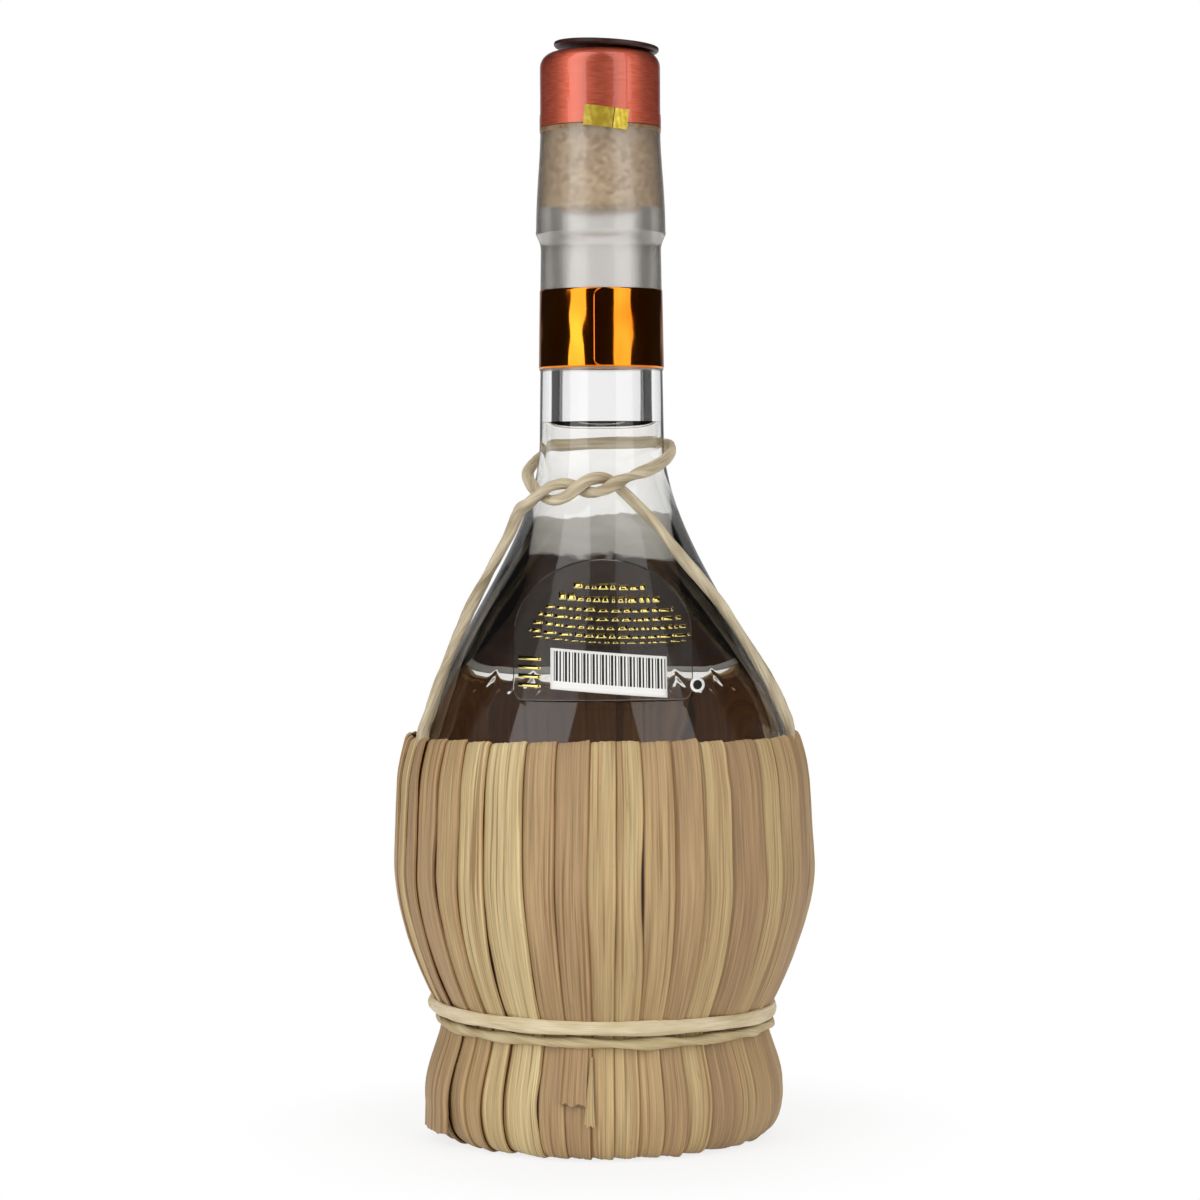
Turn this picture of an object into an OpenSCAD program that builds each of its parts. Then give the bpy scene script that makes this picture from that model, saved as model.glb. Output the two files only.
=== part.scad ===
// Chianti fiasco bottle of half a litre with a straw leaf basket, neck cord and T-stopper.
// Millimetres, +Z up, origin at the centre of the base. The back of the bottle faces -Y.

/* [Glass bottle] */
// Height of the mouth above the floor
mouth_z = 240.2; // [236:0.1:250]
// Outer diameter of the glass at the mouth
mouth_d = 28.4; // [27.6:0.1:29.2]
// Bore of the neck
bore_d = 20; // [17:0.1:21]
// Outer diameter of the neck under the collar
neck_d = 28.4; // [27.6:0.1:29.2]
// Outer diameter of the neck where the shoulder starts
neck_foot_d = 29.8; // [29:0.1:30.6]
// Largest outer diameter of the collar
collar_d = 30.6; // [29.8:0.1:32]
// Height at which the collar starts to swell
collar_foot_z = 211; // [208:0.5:216]
// Height over which the collar swells
collar_step = 4.6; // [3:0.1:7]
// Height at which the neck turns into the shoulder
shoulder_z = 165.3; // [162:0.1:170]
// Pull of the shoulder curve where it leaves the neck
neck_sweep = 27.2; // [22:0.1:32]
// Pull of the shoulder curve where it meets the belly
belly_sweep = 25.4; // [22:0.1:30]
// Largest outer diameter of the belly
belly_d = 92.6; // [90:0.1:96]
// Height of the top of the belly
belly_top_z = 83.5; // [81:0.1:86]
// Height at which the belly starts to draw in
belly_foot_z = 65; // [63:0.1:67]
// Pull of the lower curve at the belly
belly_drop = 17.4; // [16:0.1:19]
// Pull of the lower curve at the heel
heel_reach = 4.5; // [3.5:0.1:6]
// Outer diameter of the flat ring under the heel
heel_d = 48; // [46:0.1:50]
// Width of that ring
heel_w = 4; // [3:0.1:6]
// Height of the heel above the floor
heel_z = 9; // [8:0.1:11]
// Height of the punt above the heel
punt_h = 11; // [6:0.1:14]
// Wall of the belly
wall = 3.8; // [3.4:0.1:4.8]
// Thickness of the bottom
bottom_t = 5; // [4:0.1:6]

/* [Straw basket] */
// Number of leaves round the basket
leaf_count = 40; // [34:1:42]
// Thickness of a leaf
leaf_t = 0.6; // [0.4:0.05:0.65]
// Rise from a leaf's tucked edge to its open edge
leaf_climb = 1.7; // [1.6:0.05:2]
// Width of a leaf as a share of the leaves' spacing
leaf_lap = 1.58; // [1.45:0.01:1.62]
// How far the leaf spacing wanders, in degrees
leaf_wander = 1; // [0:0.1:1]
// How far a leaf leans along its length, in degrees
leaf_lean = 1; // [0:0.1:1]
// Height of the basket's rim
rim_z = 95.3; // [92:0.1:98]
// Depth of the rim's inward curl
rim_curl = 1; // [0.6:0.1:1.2]
// Most slack between the glass and the leaves
basket_slack = 1.8; // [1:0.1:2.4]
// Height of the tie above the floor
waist_z = 28.8; // [26:0.1:31]
// Largest diameter of the skirt under the tie
skirt_d = 85.2; // [83:0.1:88]
// Height of the skirt's largest diameter
skirt_z = 11; // [9:0.1:13]
// Radius of the skirt's lower corner
skirt_corner = 5.6; // [4.5:0.1:7]
// Diameter at which the leaves end under the base
leaf_end_d = 60.6; // [58:0.1:64]
// Height of the leaves' underside above the floor
leaf_lift = 0.1; // [0.05:0.05:0.3]
// Bore of the straw base ring
base_bore_d = 25; // [20:0.5:25.5]
// Height of the base ring's upper edge
base_top_z = 19; // [16:0.1:21]
// Gap between the straw and what it lies on
straw_gap = 0.3; // [0.2:0.05:0.4]

/* [Cords] */
// Diameter of the waist cord
waist_cord_d = 2.4; // [2:0.1:2.8]
// Number of turns of the waist cord
waist_turns = 2; // [2:1:3]
// Distance between the turns of the waist cord
waist_pitch = 3.6; // [3.4:0.1:4]
// Diameter of the neck cord
neck_cord_d = 2.8; // [2.4:0.1:2.8]

/* [Film and labels] */
// Thickness of the shrink film
film_t = 0.15; // [0.1:0.05:0.2]
// Gap under the film, the labels and the band
film_gap = 0.06; // [0.04:0.01:0.08]
// Height of the film's lower edge
film_foot_z = 182; // [178:0.5:186]
// Height of the tear strip above the mouth's lower side
tear_h = 4.2; // [3.4:0.1:5]
// Gap between the tear strip and the stopper's head
tear_gap = 0.22; // [0.2:0.01:0.25]
// Length of the bonded part of the tear tab
tab_root_l = 7.2; // [5:0.1:9]
// Length of the free part of the tear tab
tab_l = 3.4; // [2.5:0.1:5]
// Height of the tear tab
tab_h = 4.8; // [3.5:0.1:5.5]
// Tilt of the tear tab, in degrees
tab_tilt = 7; // [0:0.5:9]
// Height of the metallised band
band_h = 18.8; // [14:0.1:22]
// Height of the band's lower edge above the film's edge
band_up = 0.4; // [0.2:0.1:2]
// Thickness of the band
band_t = 0.1; // [0.06:0.01:0.15]
// Length of the band's overlap, in degrees
band_lap = 24; // [12:1:40]
// Thickness of the labels
label_t = 0.2; // [0.1:0.05:0.25]
// Width of the back label
back_label_w = 42; // [34:0.5:46]
// Height of the back label's lower edge
back_label_z = 104.5; // [103:0.5:108]
// Height of the back label
back_label_h = 32; // [28:0.5:36]
// Height of the back label's arched part
back_label_arch = 16; // [10:0.5:20]
// Share of the way round that the front label takes, in degrees
front_label_a = 130; // [110:1:150]
// Height of the front label's lower edge
front_label_z = 104; // [103:0.5:108]
// Height of the front label
front_label_h = 41; // [36:0.5:44]

/* [Stopper] */
// How much wider than the mouth the stopper's head is
head_over = 0; // [-0.4:0.1:0.1]
// Height of the stopper's head
head_h = 17.8; // [14:0.1:20]
// Radius of the head's upper corner
head_corner = 3.4; // [2:0.1:5]
// Wall of the metal shell
shell_t = 0.8; // [0.5:0.05:1.2]
// Gap between the head and the mouth
seat_gap = 0.1; // [0.05:0.01:0.2]
// Radial gap between the shank and the bore
shank_gap = 0.1; // [0.06:0.01:0.1]
// Length of the shank below the head
shank_l = 20.5; // [16:0.5:24]
// Length of the shank inside the head
shank_grip = 6; // [4:0.5:8]
// Width of the film's level hem on top of the head
crown_hem = 0.7; // [0.4:0.1:3]
// Distance from the head's side in to the edge of the disc on its top
disc_inset = 1.6; // [1.2:0.1:4]
// Thickness of that disc
disc_t = 1.2; // [0.8:0.1:2]
// Rise of its domed top
disc_dome = 1; // [0.2:0.1:2]
// Tilt of the disc, in degrees
disc_tilt = 3.5; // [0:0.1:4]
// Shift of the disc off the axis
disc_shift = 1.5; // [0:0.1:1.8]

/* [Hidden] */
// Facets of a full circle
$fn = 96;
// A length that is too small to see, for cuts that must pass a face
eps = 0.01;
// Steps along one stretch of a curve
steps = 10;
neck_r = neck_d / 2;
neck_foot_r = neck_foot_d / 2;
bore_r = bore_d / 2;
mouth_r = mouth_d / 2;
collar_r = collar_d / 2;
collar_top_z = collar_foot_z + collar_step;
belly_r = belly_d / 2;
heel_r = heel_d / 2;
// Radius of the mouth's outer edge and width of the chamfer at its bore
lip_r = 1.2;
lip_chamfer = 0.6;
// Pulls of the collar's curve at the mouth and where the collar is widest
mouth_pull = 6;
collar_pull = 9;

// Point of a cubic curve from a to d with the pulls b and c
function curve(a, b, c, d, t) =
    pow(1 - t, 3) * a + 3 * pow(1 - t, 2) * t * b + 3 * (1 - t) * t * t * c + pow(t, 3) * d;
// The same curve as a row of points, without its first point when from is 1
function curve_row(a, b, c, d, n = steps, from = 0) =
    [for (i = [from : n]) curve(a, b, c, d, i / n)];

// Outer shoulder of the glass, from the neck down to the belly
shoulder_row = curve_row([neck_foot_r, shoulder_z], [neck_foot_r, shoulder_z - neck_sweep],
    [belly_r, belly_top_z + belly_sweep], [belly_r, belly_top_z], 2.4 * steps);
// Outer lower curve of the glass, from the belly down to the heel
lower_row = curve_row([belly_r, belly_foot_z], [belly_r, belly_foot_z - belly_drop],
    [heel_r + heel_reach, heel_z], [heel_r, heel_z], 1.6 * steps);
// Outer collar, from the mouth down to the neck
collar_row = concat(
    [for (i = [0 : 4]) [mouth_r - lip_r + lip_r * sin(22.5 * i), mouth_z - lip_r + lip_r * cos(22.5 * i)]],
    curve_row([mouth_r, mouth_z - lip_r], [mouth_r, mouth_z - lip_r - mouth_pull],
        [collar_r, collar_top_z + collar_pull], [collar_r, collar_top_z], steps, 1),
    curve_row([collar_r, collar_top_z], [collar_r, collar_top_z - 0.45 * collar_step],
        [neck_r, collar_foot_z + 0.45 * collar_step], [neck_r, collar_foot_z], 6, 1));
glass_out = concat(collar_row, shoulder_row, lower_row);
// Inner side of the glass, from the belly's wall: the neck's wall is what the bore leaves.
// The bore ends lower than the neck does, and the inner shoulder's pulls are weaker.
bore_end_z = shoulder_z - 2;
pull_less = 1;
inner_shoulder_row = curve_row([bore_r, bore_end_z], [bore_r, shoulder_z - neck_sweep - pull_less],
    [belly_r - wall, belly_top_z + belly_sweep - pull_less], [belly_r - wall, belly_top_z], 2.4 * steps);
inner_lower_row = curve_row([belly_r - wall, belly_foot_z], [belly_r - wall, belly_foot_z - belly_drop],
    [heel_r + heel_reach - wall, heel_z + bottom_t], [heel_r - heel_w, heel_z + bottom_t], 1.6 * steps);
punt_r = heel_r - heel_w;
inner_punt_row = curve_row([punt_r, heel_z + bottom_t], [0.7 * punt_r, heel_z + bottom_t],
    [0.45 * punt_r, heel_z + punt_h + bottom_t], [0, heel_z + punt_h + bottom_t], steps, 1);
outer_punt_row = curve_row([0, heel_z + punt_h], [0.45 * punt_r, heel_z + punt_h],
    [0.7 * punt_r, heel_z], [punt_r, heel_z], steps);
glass_in = concat([[bore_r + lip_chamfer, mouth_z], [bore_r, mouth_z - lip_chamfer]],
    inner_shoulder_row, inner_lower_row, inner_punt_row);

// Radius of the glass's outer side at height z
function reversed(row) = [for (i = [len(row) - 1 : -1 : 0]) row[i]];
glass_table = [for (p = reversed(concat(shoulder_row, lower_row))) [p[1], p[0]]];
neck_table = [for (p = reversed(concat(collar_row, [[neck_foot_r, shoulder_z]]))) [p[1], p[0]]];
function glass_at(z) = z < shoulder_z ? lookup(z, glass_table) : lookup(z, neck_table);

// Fill volume in millilitres up to height z, as a sum of thin discs
fill_z = 168.5;
fill_table = [for (p = reversed(concat(inner_shoulder_row, inner_lower_row))) [p[1], p[0]]];
function inner_at(z) = z > bore_end_z ? bore_r : lookup(z, fill_table);
fill_from = heel_z + bottom_t;
fill_disc = 0.5;
function total(row) = row * [for (i = row) 1];
punt_table = [for (p = reversed(inner_punt_row)) [-p[1], p[0]]];
function punt_at(z) = z > heel_z + bottom_t + punt_h ? 0 : lookup(-z, punt_table);
fill_ml = total([for (z = [fill_from : fill_disc : fill_z])
    PI * fill_disc * (pow(inner_at(z), 2) - pow(punt_at(z), 2))]) / 1000;
echo(fill_ml = fill_ml);

// Leaf stack from the glass outwards, and the basket's outer radius at height z
leaf_stack = leaf_climb + leaf_t;
// Exponent: below 1, the slack's highest point lies nearer to the tie than to the rim
slack_exponent = 0.63;
function slack_at(z) =
    basket_slack * sin(180 * pow(max(0, (z - waist_z) / (rim_z - waist_z)), slack_exponent));
function basket_at(z) = glass_at(z) + straw_gap + leaf_stack + slack_at(z);
waist_r = basket_at(waist_z);
rim_r = basket_at(rim_z - 1.6 * rim_curl);
skirt_r = skirt_d / 2;
leaf_end_r = leaf_end_d / 2;
corner_in = skirt_r - skirt_corner;
// Heights of a leaf's cross-sections between the tie and the rim
leaf_sections = 8;
// Outer path of a leaf, from its end under the base round the skirt and the tie up to the rim
leaf_path = concat(
    [[leaf_end_r, leaf_lift], [corner_in, leaf_lift]],
    curve_row([corner_in, leaf_lift], [corner_in + 0.55 * skirt_corner, leaf_lift],
        [skirt_r, skirt_z - 0.6 * (skirt_z - leaf_lift)], [skirt_r, skirt_z], 3, 1),
    curve_row([skirt_r, skirt_z], [skirt_r, skirt_z + 0.4 * (waist_z - skirt_z)],
        [waist_r, waist_z - 0.3 * (waist_z - skirt_z)], [waist_r, waist_z], 3, 1),
    [for (i = [1 : leaf_sections]) let (z = waist_z + (rim_z - 2 * rim_curl - waist_z) * i / leaf_sections)
        [basket_at(z), z]],
    [[rim_r - 0.1 * rim_curl, rim_z - 0.9 * rim_curl], [rim_r - rim_curl, rim_z]]);
leaf_last = len(leaf_path) - 1;
function unit(v) = v / norm(v);
// Outward normal of the leaf path at point k
function path_normal(path, k) =
    let (d = unit(path[min(k + 1, len(path) - 1)] - path[max(k - 1, 0)])) [d[1], -d[0]];
leaf_pitch = 360 / leaf_count;
// Direction of the first leaf's tucked edge, and each leaf's own start and lean, in degrees
leaf_start_angle = 177.4;
function leaf_from(i) = leaf_start_angle + i * leaf_pitch + leaf_wander * sin(137.5 * i);
function leaf_shift(i, k) = leaf_lean * sin(97 * i) * (k / leaf_last - 0.5);
function leaf_name(i) = str("leaf_", i < 10 ? "0" : "", i);
// Point of leaf i at path point k, at share u of its width and depth d below its own surface
function leaf_point(i, k, u, d) =
    let (q = leaf_path[k] - path_normal(leaf_path, k) * (leaf_climb * (1 - u) + d),
        a = leaf_from(i) + leaf_shift(i, k) + u * leaf_lap * leaf_pitch)
    [q[0] * cos(a), q[0] * sin(a), q[1]];

// Closed tube through rings of the same number of points
function tube_faces(rings, sides) = concat(
    [[for (j = [sides - 1 : -1 : 0]) j]],
    [for (i = [0 : rings - 2], j = [0 : sides - 1], k = [0, 1])
        let (a = i * sides + j, b = i * sides + (j + 1) % sides)
        k == 0 ? [a, b, b + sides] : [a, b + sides, a + sides]],
    [[for (j = [0 : sides - 1]) (rings - 1) * sides + j]]);
// Rings of a round cord along a row of points, turned so that they never face the axis edge on
function ring_at(row, i, r, sides) =
    let (t = unit(row[min(i + 1, len(row) - 1)] - row[max(i - 1, 0)]),
        away = unit([row[i][0], row[i][1], 0]),
        u = unit(away - (away * t) * t),
        v = cross(t, u))
    [for (j = [0 : sides - 1]) row[i] + r * (cos(360 * j / sides) * u + sin(360 * j / sides) * v)];
module cord(row, d, sides) {
    polyhedron(
        points = [for (i = [0 : len(row) - 1]) each ring_at(row, i, d / 2, sides)],
        faces = tube_faces(len(row), sides));
}
// Smooth row through hand-chosen points, with n steps between two of them
function through(a, b, c, d, t) = 0.5 * (2 * b + (c - a) * t + (2 * a - 5 * b + 4 * c - d) * t * t
    + (3 * b - a - 3 * c + d) * t * t * t);
function smooth_row(p, n) = concat(
    [for (i = [0 : len(p) - 2], j = [0 : n - 1])
        through(p[max(i - 1, 0)], p[i], p[i + 1], p[min(i + 2, len(p) - 1)], j / n)],
    [p[len(p) - 1]]);

// Rings of one turn of the waist cord, and the direction in which the cord starts, in degrees
waist_rings = 24;
waist_start_angle = 90;
waist_cord_r = waist_cord_d / 2;
// Gap between the waist cord and the leaves
tie_gap = 0.15;
leaf_table = [for (p = leaf_path) if (p[1] >= skirt_z) [p[1], p[0]]];
// Radius at which the round cord at height z just clears the leaves
function tie_at(z) = tie_gap + max([for (s = [-1 : 0.25 : 1])
    lookup(z + s * waist_cord_r, leaf_table) + waist_cord_r * sqrt(1 - s * s)]);
waist_row = [for (i = [0 : waist_turns * waist_rings])
    let (a = waist_start_angle + 360 * i / waist_rings,
        z = waist_z + waist_turns * waist_pitch / 2 - waist_pitch * i / waist_rings)
    [tie_at(z) * cos(a), tie_at(z) * sin(a), z]];
waist_gap = min([for (i = [0 : len(waist_row) - 13], j = [i + 12 : len(waist_row) - 1])
    norm(waist_row[i] - waist_row[j])]) - waist_cord_d;
echo(waist_cord_gap = waist_gap);

// Route of the neck cord: up the left, through the twist, round the neck, through it again and down.
// Each point is its direction in degrees, the cord's gap from the glass there, and its height.
neck_route = [
    [202.5, 0.5, 96.6], [202.3, 0.4, 101], [199.7, 0.4, 107.8], [194, 0.5, 117], [192, 1.2, 127],
    [197, 1.7, 136], [203, 2, 142.6], [209.5, 2.8, 148.4], [219.9, 3.2, 150.6], [227.2, 3.4, 152.4],
    [233.5, 3.1, 154.1], [238.7, 1.9, 154.8], [244.6, 0.7, 154.8], [251.7, 0.2, 153.9], [259.3, 0.6, 153],
    [266.6, 1.9, 152.9], [272.7, 3.1, 153.6], [279, 3.4, 155], [292.3, 2.8, 156.8], [312.4, 1.5, 158.7],
    [338.8, 0.8, 161.6], [6.2, 0.5, 163.6], [37.1, 0.2, 164.3], [66.5, 0.2, 164.5], [95.5, 0.2, 164.2],
    [124.5, 0.3, 163.2], [150, 0.2, 161.6], [172, 0.4, 159], [190, 0.7, 156.6], [205, 0.5, 154.5],
    [217.1, 0.2, 152.5], [229, 0.3, 151.2], [239.9, 1.6, 151.2], [248.3, 2.9, 152.2], [254.5, 3.5, 154],
    [260.1, 3.1, 155.5], [266.4, 1.8, 156.1], [273.2, 0.5, 155.9], [280.3, 0.2, 154.7], [285.7, 0.2, 152.9],
    [292.3, 0.3, 150.7], [305.7, 0.5, 145.4], [316.8, 0.6, 138.2], [331.5, 0.7, 127.6], [339.5, 0.5, 117],
    [343.9, 0.4, 107.8], [344.4, 0.4, 102], [343.6, 0.6, 96.6]];
neck_points = [for (p = neck_route) let (r = glass_at(p[2]) + neck_cord_d / 2 + p[1])
    [r * cos(p[0]), r * sin(p[0]), p[2]]];
neck_row = smooth_row(neck_points, 2);

// Heights and radii of the film
sleeve_top_z = mouth_z - lip_r;
tear_top_z = sleeve_top_z + tear_h;
head_z = mouth_z + seat_gap;
head_top_z = head_z + head_h;
head_r = mouth_r + head_over / 2;
shank_r = bore_r - shank_gap;
tear_r = head_r + tear_gap;
tab_r = tear_r + film_t + film_gap;
tab_z = (sleeve_top_z + tear_top_z) / 2;
// Direction of the tab's fold, seen from above, and the angle that the bonded part takes, in degrees
tab_fold_angle = 282.7;
tab_root_angle = tab_root_l / tab_r * 180 / PI;
// Gap between the bonded and the free part at the fold
tab_fold_gap = 0.2;

module glass_bottle() {
    color([0.8, 0.82, 0.78, 0.45])
    rotate_extrude()
    polygon(concat(glass_out, reversed([for (p = outer_punt_row) p]), reversed(glass_in)));
}

// Straw doughnut: a foot on the floor, a cradle for the heel and a bed for the folded leaves
module base_ring() {
    bed = [for (k = [0 : leaf_last]) if (leaf_path[k][1] < base_top_z)
        leaf_path[k] - path_normal(leaf_path, k) * (leaf_stack + straw_gap)];
    cradle = [for (p = lower_row) if (p[1] < base_top_z - straw_gap) p];
    cradle_n = len(cradle);
    cradle_row = [for (i = [0 : cradle_n - 1])
        let (d = unit(cradle[min(i + 1, cradle_n - 1)] - cradle[max(i - 1, 0)]))
        cradle[i] + straw_gap * [-d[1], d[0]]];
    color("burlywood")
    rotate_extrude()
    polygon(concat(
        [[base_bore_d / 2, 0], [leaf_end_r - straw_gap, 0]],
        [[leaf_end_r - straw_gap, bed[0][1]]],
        bed,
        [[bed[len(bed) - 1][0], base_top_z], [cradle_row[0][0], base_top_z]],
        cradle_row,
        [[base_bore_d / 2, heel_z - straw_gap]]));
}

// One straw leaf: a creased strip whose left edge is tucked under the leaf before it
module leaf(i) {
    color([0.76, 0.65 - 0.04 * sin(53 * i), 0.45 - 0.05 * sin(53 * i)])
    polyhedron(
        points = [for (k = [0 : leaf_last]) each [
            leaf_point(i, k, 1, 0), leaf_point(i, k, 0.5, -0.1 * leaf_t), leaf_point(i, k, 0, 0),
            leaf_point(i, k, 0, leaf_t), leaf_point(i, k, 0.5, 0.9 * leaf_t), leaf_point(i, k, 1, leaf_t)]],
        faces = tube_faces(leaf_last + 1, 6));
}

module waist_cord() {
    color([0.85, 0.78, 0.64])
    cord(waist_row, waist_cord_d, 6);
}

module neck_cord() {
    color([0.85, 0.78, 0.64])
    cord(neck_row, neck_cord_d, 8);
}

// Skin on the glass between two heights, from depth d0 to d1 above it, as a profile
module skin_profile(z0, z1, d0, d1, n) {
    z = [for (i = [0 : n]) z0 + (z1 - z0) * i / n];
    polygon(concat(
        [for (h = z) [glass_at(h) + d0, h]],
        reversed([for (h = z) [glass_at(h) + d1, h]])));
}

// Label on the shoulder: a skin cut to an outline that is seen from the front
module label(w, z0, h, arch) {
    corner = 4;
    intersection() {
        rotate([0, 0, 180])
        rotate_extrude(angle = 180)
        skin_profile(z0 - 1, z0 + h + 1, film_gap, film_gap + label_t, 12);
        rotate([90, 0, 0])
        linear_extrude(height = belly_d)
        polygon(concat(
            [for (a = [180 : 15 : 270]) [corner - w / 2 + corner * cos(a), z0 + corner + corner * sin(a)]],
            [for (a = [270 : 15 : 360]) [w / 2 - corner + corner * cos(a), z0 + corner + corner * sin(a)]],
            [for (a = [0 : 10 : 180]) [w / 2 * cos(a), z0 + h - arch + arch * sin(a)]]));
    }
}

module back_label() {
    color([0.75, 0.66, 0.38, 0.6])
    label(back_label_w, back_label_z, back_label_h, back_label_arch);
}

// Front label: a plain wrap on the far shoulder
module front_label() {
    color([0.3, 0.2, 0.15])
    rotate([0, 0, 90 - front_label_a / 2])
    rotate_extrude(angle = front_label_a)
    skin_profile(front_label_z, front_label_z + front_label_h, film_gap, film_gap + label_t, 12);
}

// Frosted shrink film over the collar and the upper neck
module capsule_sleeve() {
    color([0.6, 0.58, 0.55, 0.7])
    rotate_extrude()
    skin_profile(film_foot_z, sleeve_top_z, film_gap, film_gap + film_t, 32);
}

// Metallised band round the film, with its overlap on the back
module neck_band() {
    band_z = film_foot_z + band_up;
    under = film_gap + film_t + film_gap;
    color([0.55, 0.3, 0.08]) {
        rotate_extrude()
        skin_profile(band_z, band_z + band_h, under, under + band_t, 2);
        rotate([0, 0, 266])
        rotate_extrude(angle = band_lap)
        skin_profile(band_z, band_z + band_h, under + band_t - eps, under + 2 * band_t, 2);
    }
}

// Strip of the film that is torn out round the joint between mouth and head
module tear_strip() {
    color([0.6, 0.5, 0.45, 0.7])
    difference() {
        translate([0, 0, sleeve_top_z + film_gap])
        cylinder(r = tear_r + film_t, h = tear_h - film_gap);
        translate([0, 0, sleeve_top_z])
        cylinder(r = tear_r, h = tear_h + 1);
    }
}

// Places a piece of the tab: its fold stands on the strip, tilted with the tab
module at_tab_fold() {
    rotate([0, 0, tab_fold_angle - 270])
    translate([0, -tab_r, tab_z])
    rotate([0, tab_tilt, 0])
    children();
}

// Bonded part of the tear tab: a ring's wall on the strip, cut to the tilted tab
module tear_tab_root() {
    reach = tab_r * sin(tab_root_angle);
    color([0.78, 0.69, 0.2])
    intersection() {
        rotate([0, 0, tab_fold_angle - 2 * tab_root_angle])
        rotate_extrude(angle = 2 * tab_root_angle)
        translate([tab_r, tab_z - tab_h])
        square([film_t, 2 * tab_h]);
        at_tab_fold()
        translate([-reach, -2 * film_t, -tab_h / 2])
        cube([reach - tab_fold_gap, tab_r, tab_h]);
    }
}

// Free part of the tear tab, which stands off the strip
module tear_tab() {
    color([0.95, 0.87, 0.33])
    at_tab_fold()
    translate([0, -film_t, -tab_h / 2])
    cube([tab_l, film_t, tab_h]);
}

// Outer profile of the stopper's head, grown by d, from height z up to the axis
function head_row(d, z, n = 8) = concat(
    [[head_r + d, z]],
    [for (i = [0 : n]) let (a = 90 * i / n)
        [head_r - head_corner + (head_corner + d) * cos(a),
            head_top_z - head_corner + (head_corner + d) * sin(a)]]);

module stopper_shell() {
    color([0.66, 0.25, 0.18])
    rotate_extrude()
    polygon(concat(
        head_row(0, head_z), [[0, head_top_z]],
        reversed(concat(head_row(-shell_t, head_z), [[0, head_top_z - shell_t]]))));
}

// Moulded insert: fills the shell, seats on the mouth and holds the shank
module stopper_core() {
    color([0.2, 0.2, 0.2])
    difference() {
        rotate_extrude()
        polygon(concat([[0, head_z]], head_row(-shell_t - film_gap, head_z),
            [[0, head_top_z - shell_t - film_gap]]));
        translate([0, 0, head_z - 1])
        cylinder(r = shank_r + film_gap, h = shank_grip + film_gap + 1);
    }
}

module stopper_shank() {
    chamfer = 1;
    color([0.78, 0.68, 0.5])
    rotate_extrude()
    polygon([
        [0, head_z - shank_l], [shank_r - chamfer, head_z - shank_l], [shank_r, head_z - shank_l + chamfer],
        [shank_r, head_z + shank_grip], [0, head_z + shank_grip]]);
}

// Film over the head, turned in over its corner
module capsule_crown() {
    turn_in = head_r - head_corner - crown_hem;
    color([0.66, 0.3, 0.22, 0.6])
    rotate_extrude()
    polygon(concat(
        head_row(film_gap, tear_top_z + film_gap), [[turn_in, head_top_z + film_gap]],
        reversed(concat(head_row(film_gap + film_t, tear_top_z + film_gap),
            [[turn_in, head_top_z + film_gap + film_t]]))));
}

// Domed disc with a rolled rim, off the axis and tilted over the edge of the head's flat top
module capsule_top_disc() {
    r = head_r - disc_inset;
    rim_w = 1;
    edge = 0.4;
    dish = 0.3;
    seat = head_top_z + film_t + 2 * film_gap + (head_r - head_corner - disc_shift) * sin(disc_tilt);
    color([0.2, 0.12, 0.1])
    translate([disc_shift, 0, seat])
    rotate([0, disc_tilt, 0])
    rotate_extrude()
    polygon(concat(
        [[0, 0], [r - edge, 0], [r, edge], [r, disc_t - edge], [r - edge, disc_t], [r - rim_w, disc_t]],
        [for (i = [7 : -1 : 0]) let (s = i / 7)
            [s * (r - rim_w - dish), disc_t - dish + disc_dome * (1 - s * s)]]));
}

glass_bottle();
base_ring();
waist_cord();
neck_cord();
back_label();
front_label();
capsule_sleeve();
neck_band();
tear_strip();
tear_tab_root();
tear_tab();
capsule_crown();
capsule_top_disc();
stopper_shell();
stopper_core();
stopper_shank();
for (i = [1 : leaf_count]) leaf(i);
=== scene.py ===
import math

import bpy
import numpy as np
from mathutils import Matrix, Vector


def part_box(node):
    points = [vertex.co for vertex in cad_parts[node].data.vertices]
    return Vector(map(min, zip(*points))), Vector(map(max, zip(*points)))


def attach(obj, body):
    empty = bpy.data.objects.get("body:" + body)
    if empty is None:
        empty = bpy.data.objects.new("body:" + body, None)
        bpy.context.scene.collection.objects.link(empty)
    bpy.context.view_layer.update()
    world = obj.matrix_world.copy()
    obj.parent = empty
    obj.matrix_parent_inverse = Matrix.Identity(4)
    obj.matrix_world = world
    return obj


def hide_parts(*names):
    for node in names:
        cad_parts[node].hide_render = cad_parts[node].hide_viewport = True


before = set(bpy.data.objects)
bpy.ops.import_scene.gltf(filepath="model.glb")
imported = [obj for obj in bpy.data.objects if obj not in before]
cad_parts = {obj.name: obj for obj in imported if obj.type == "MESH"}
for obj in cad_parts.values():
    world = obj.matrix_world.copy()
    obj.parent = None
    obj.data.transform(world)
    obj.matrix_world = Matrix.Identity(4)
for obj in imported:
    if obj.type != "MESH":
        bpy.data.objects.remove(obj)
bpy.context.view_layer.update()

MM = 0.001
TURN = 2 * np.pi

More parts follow.
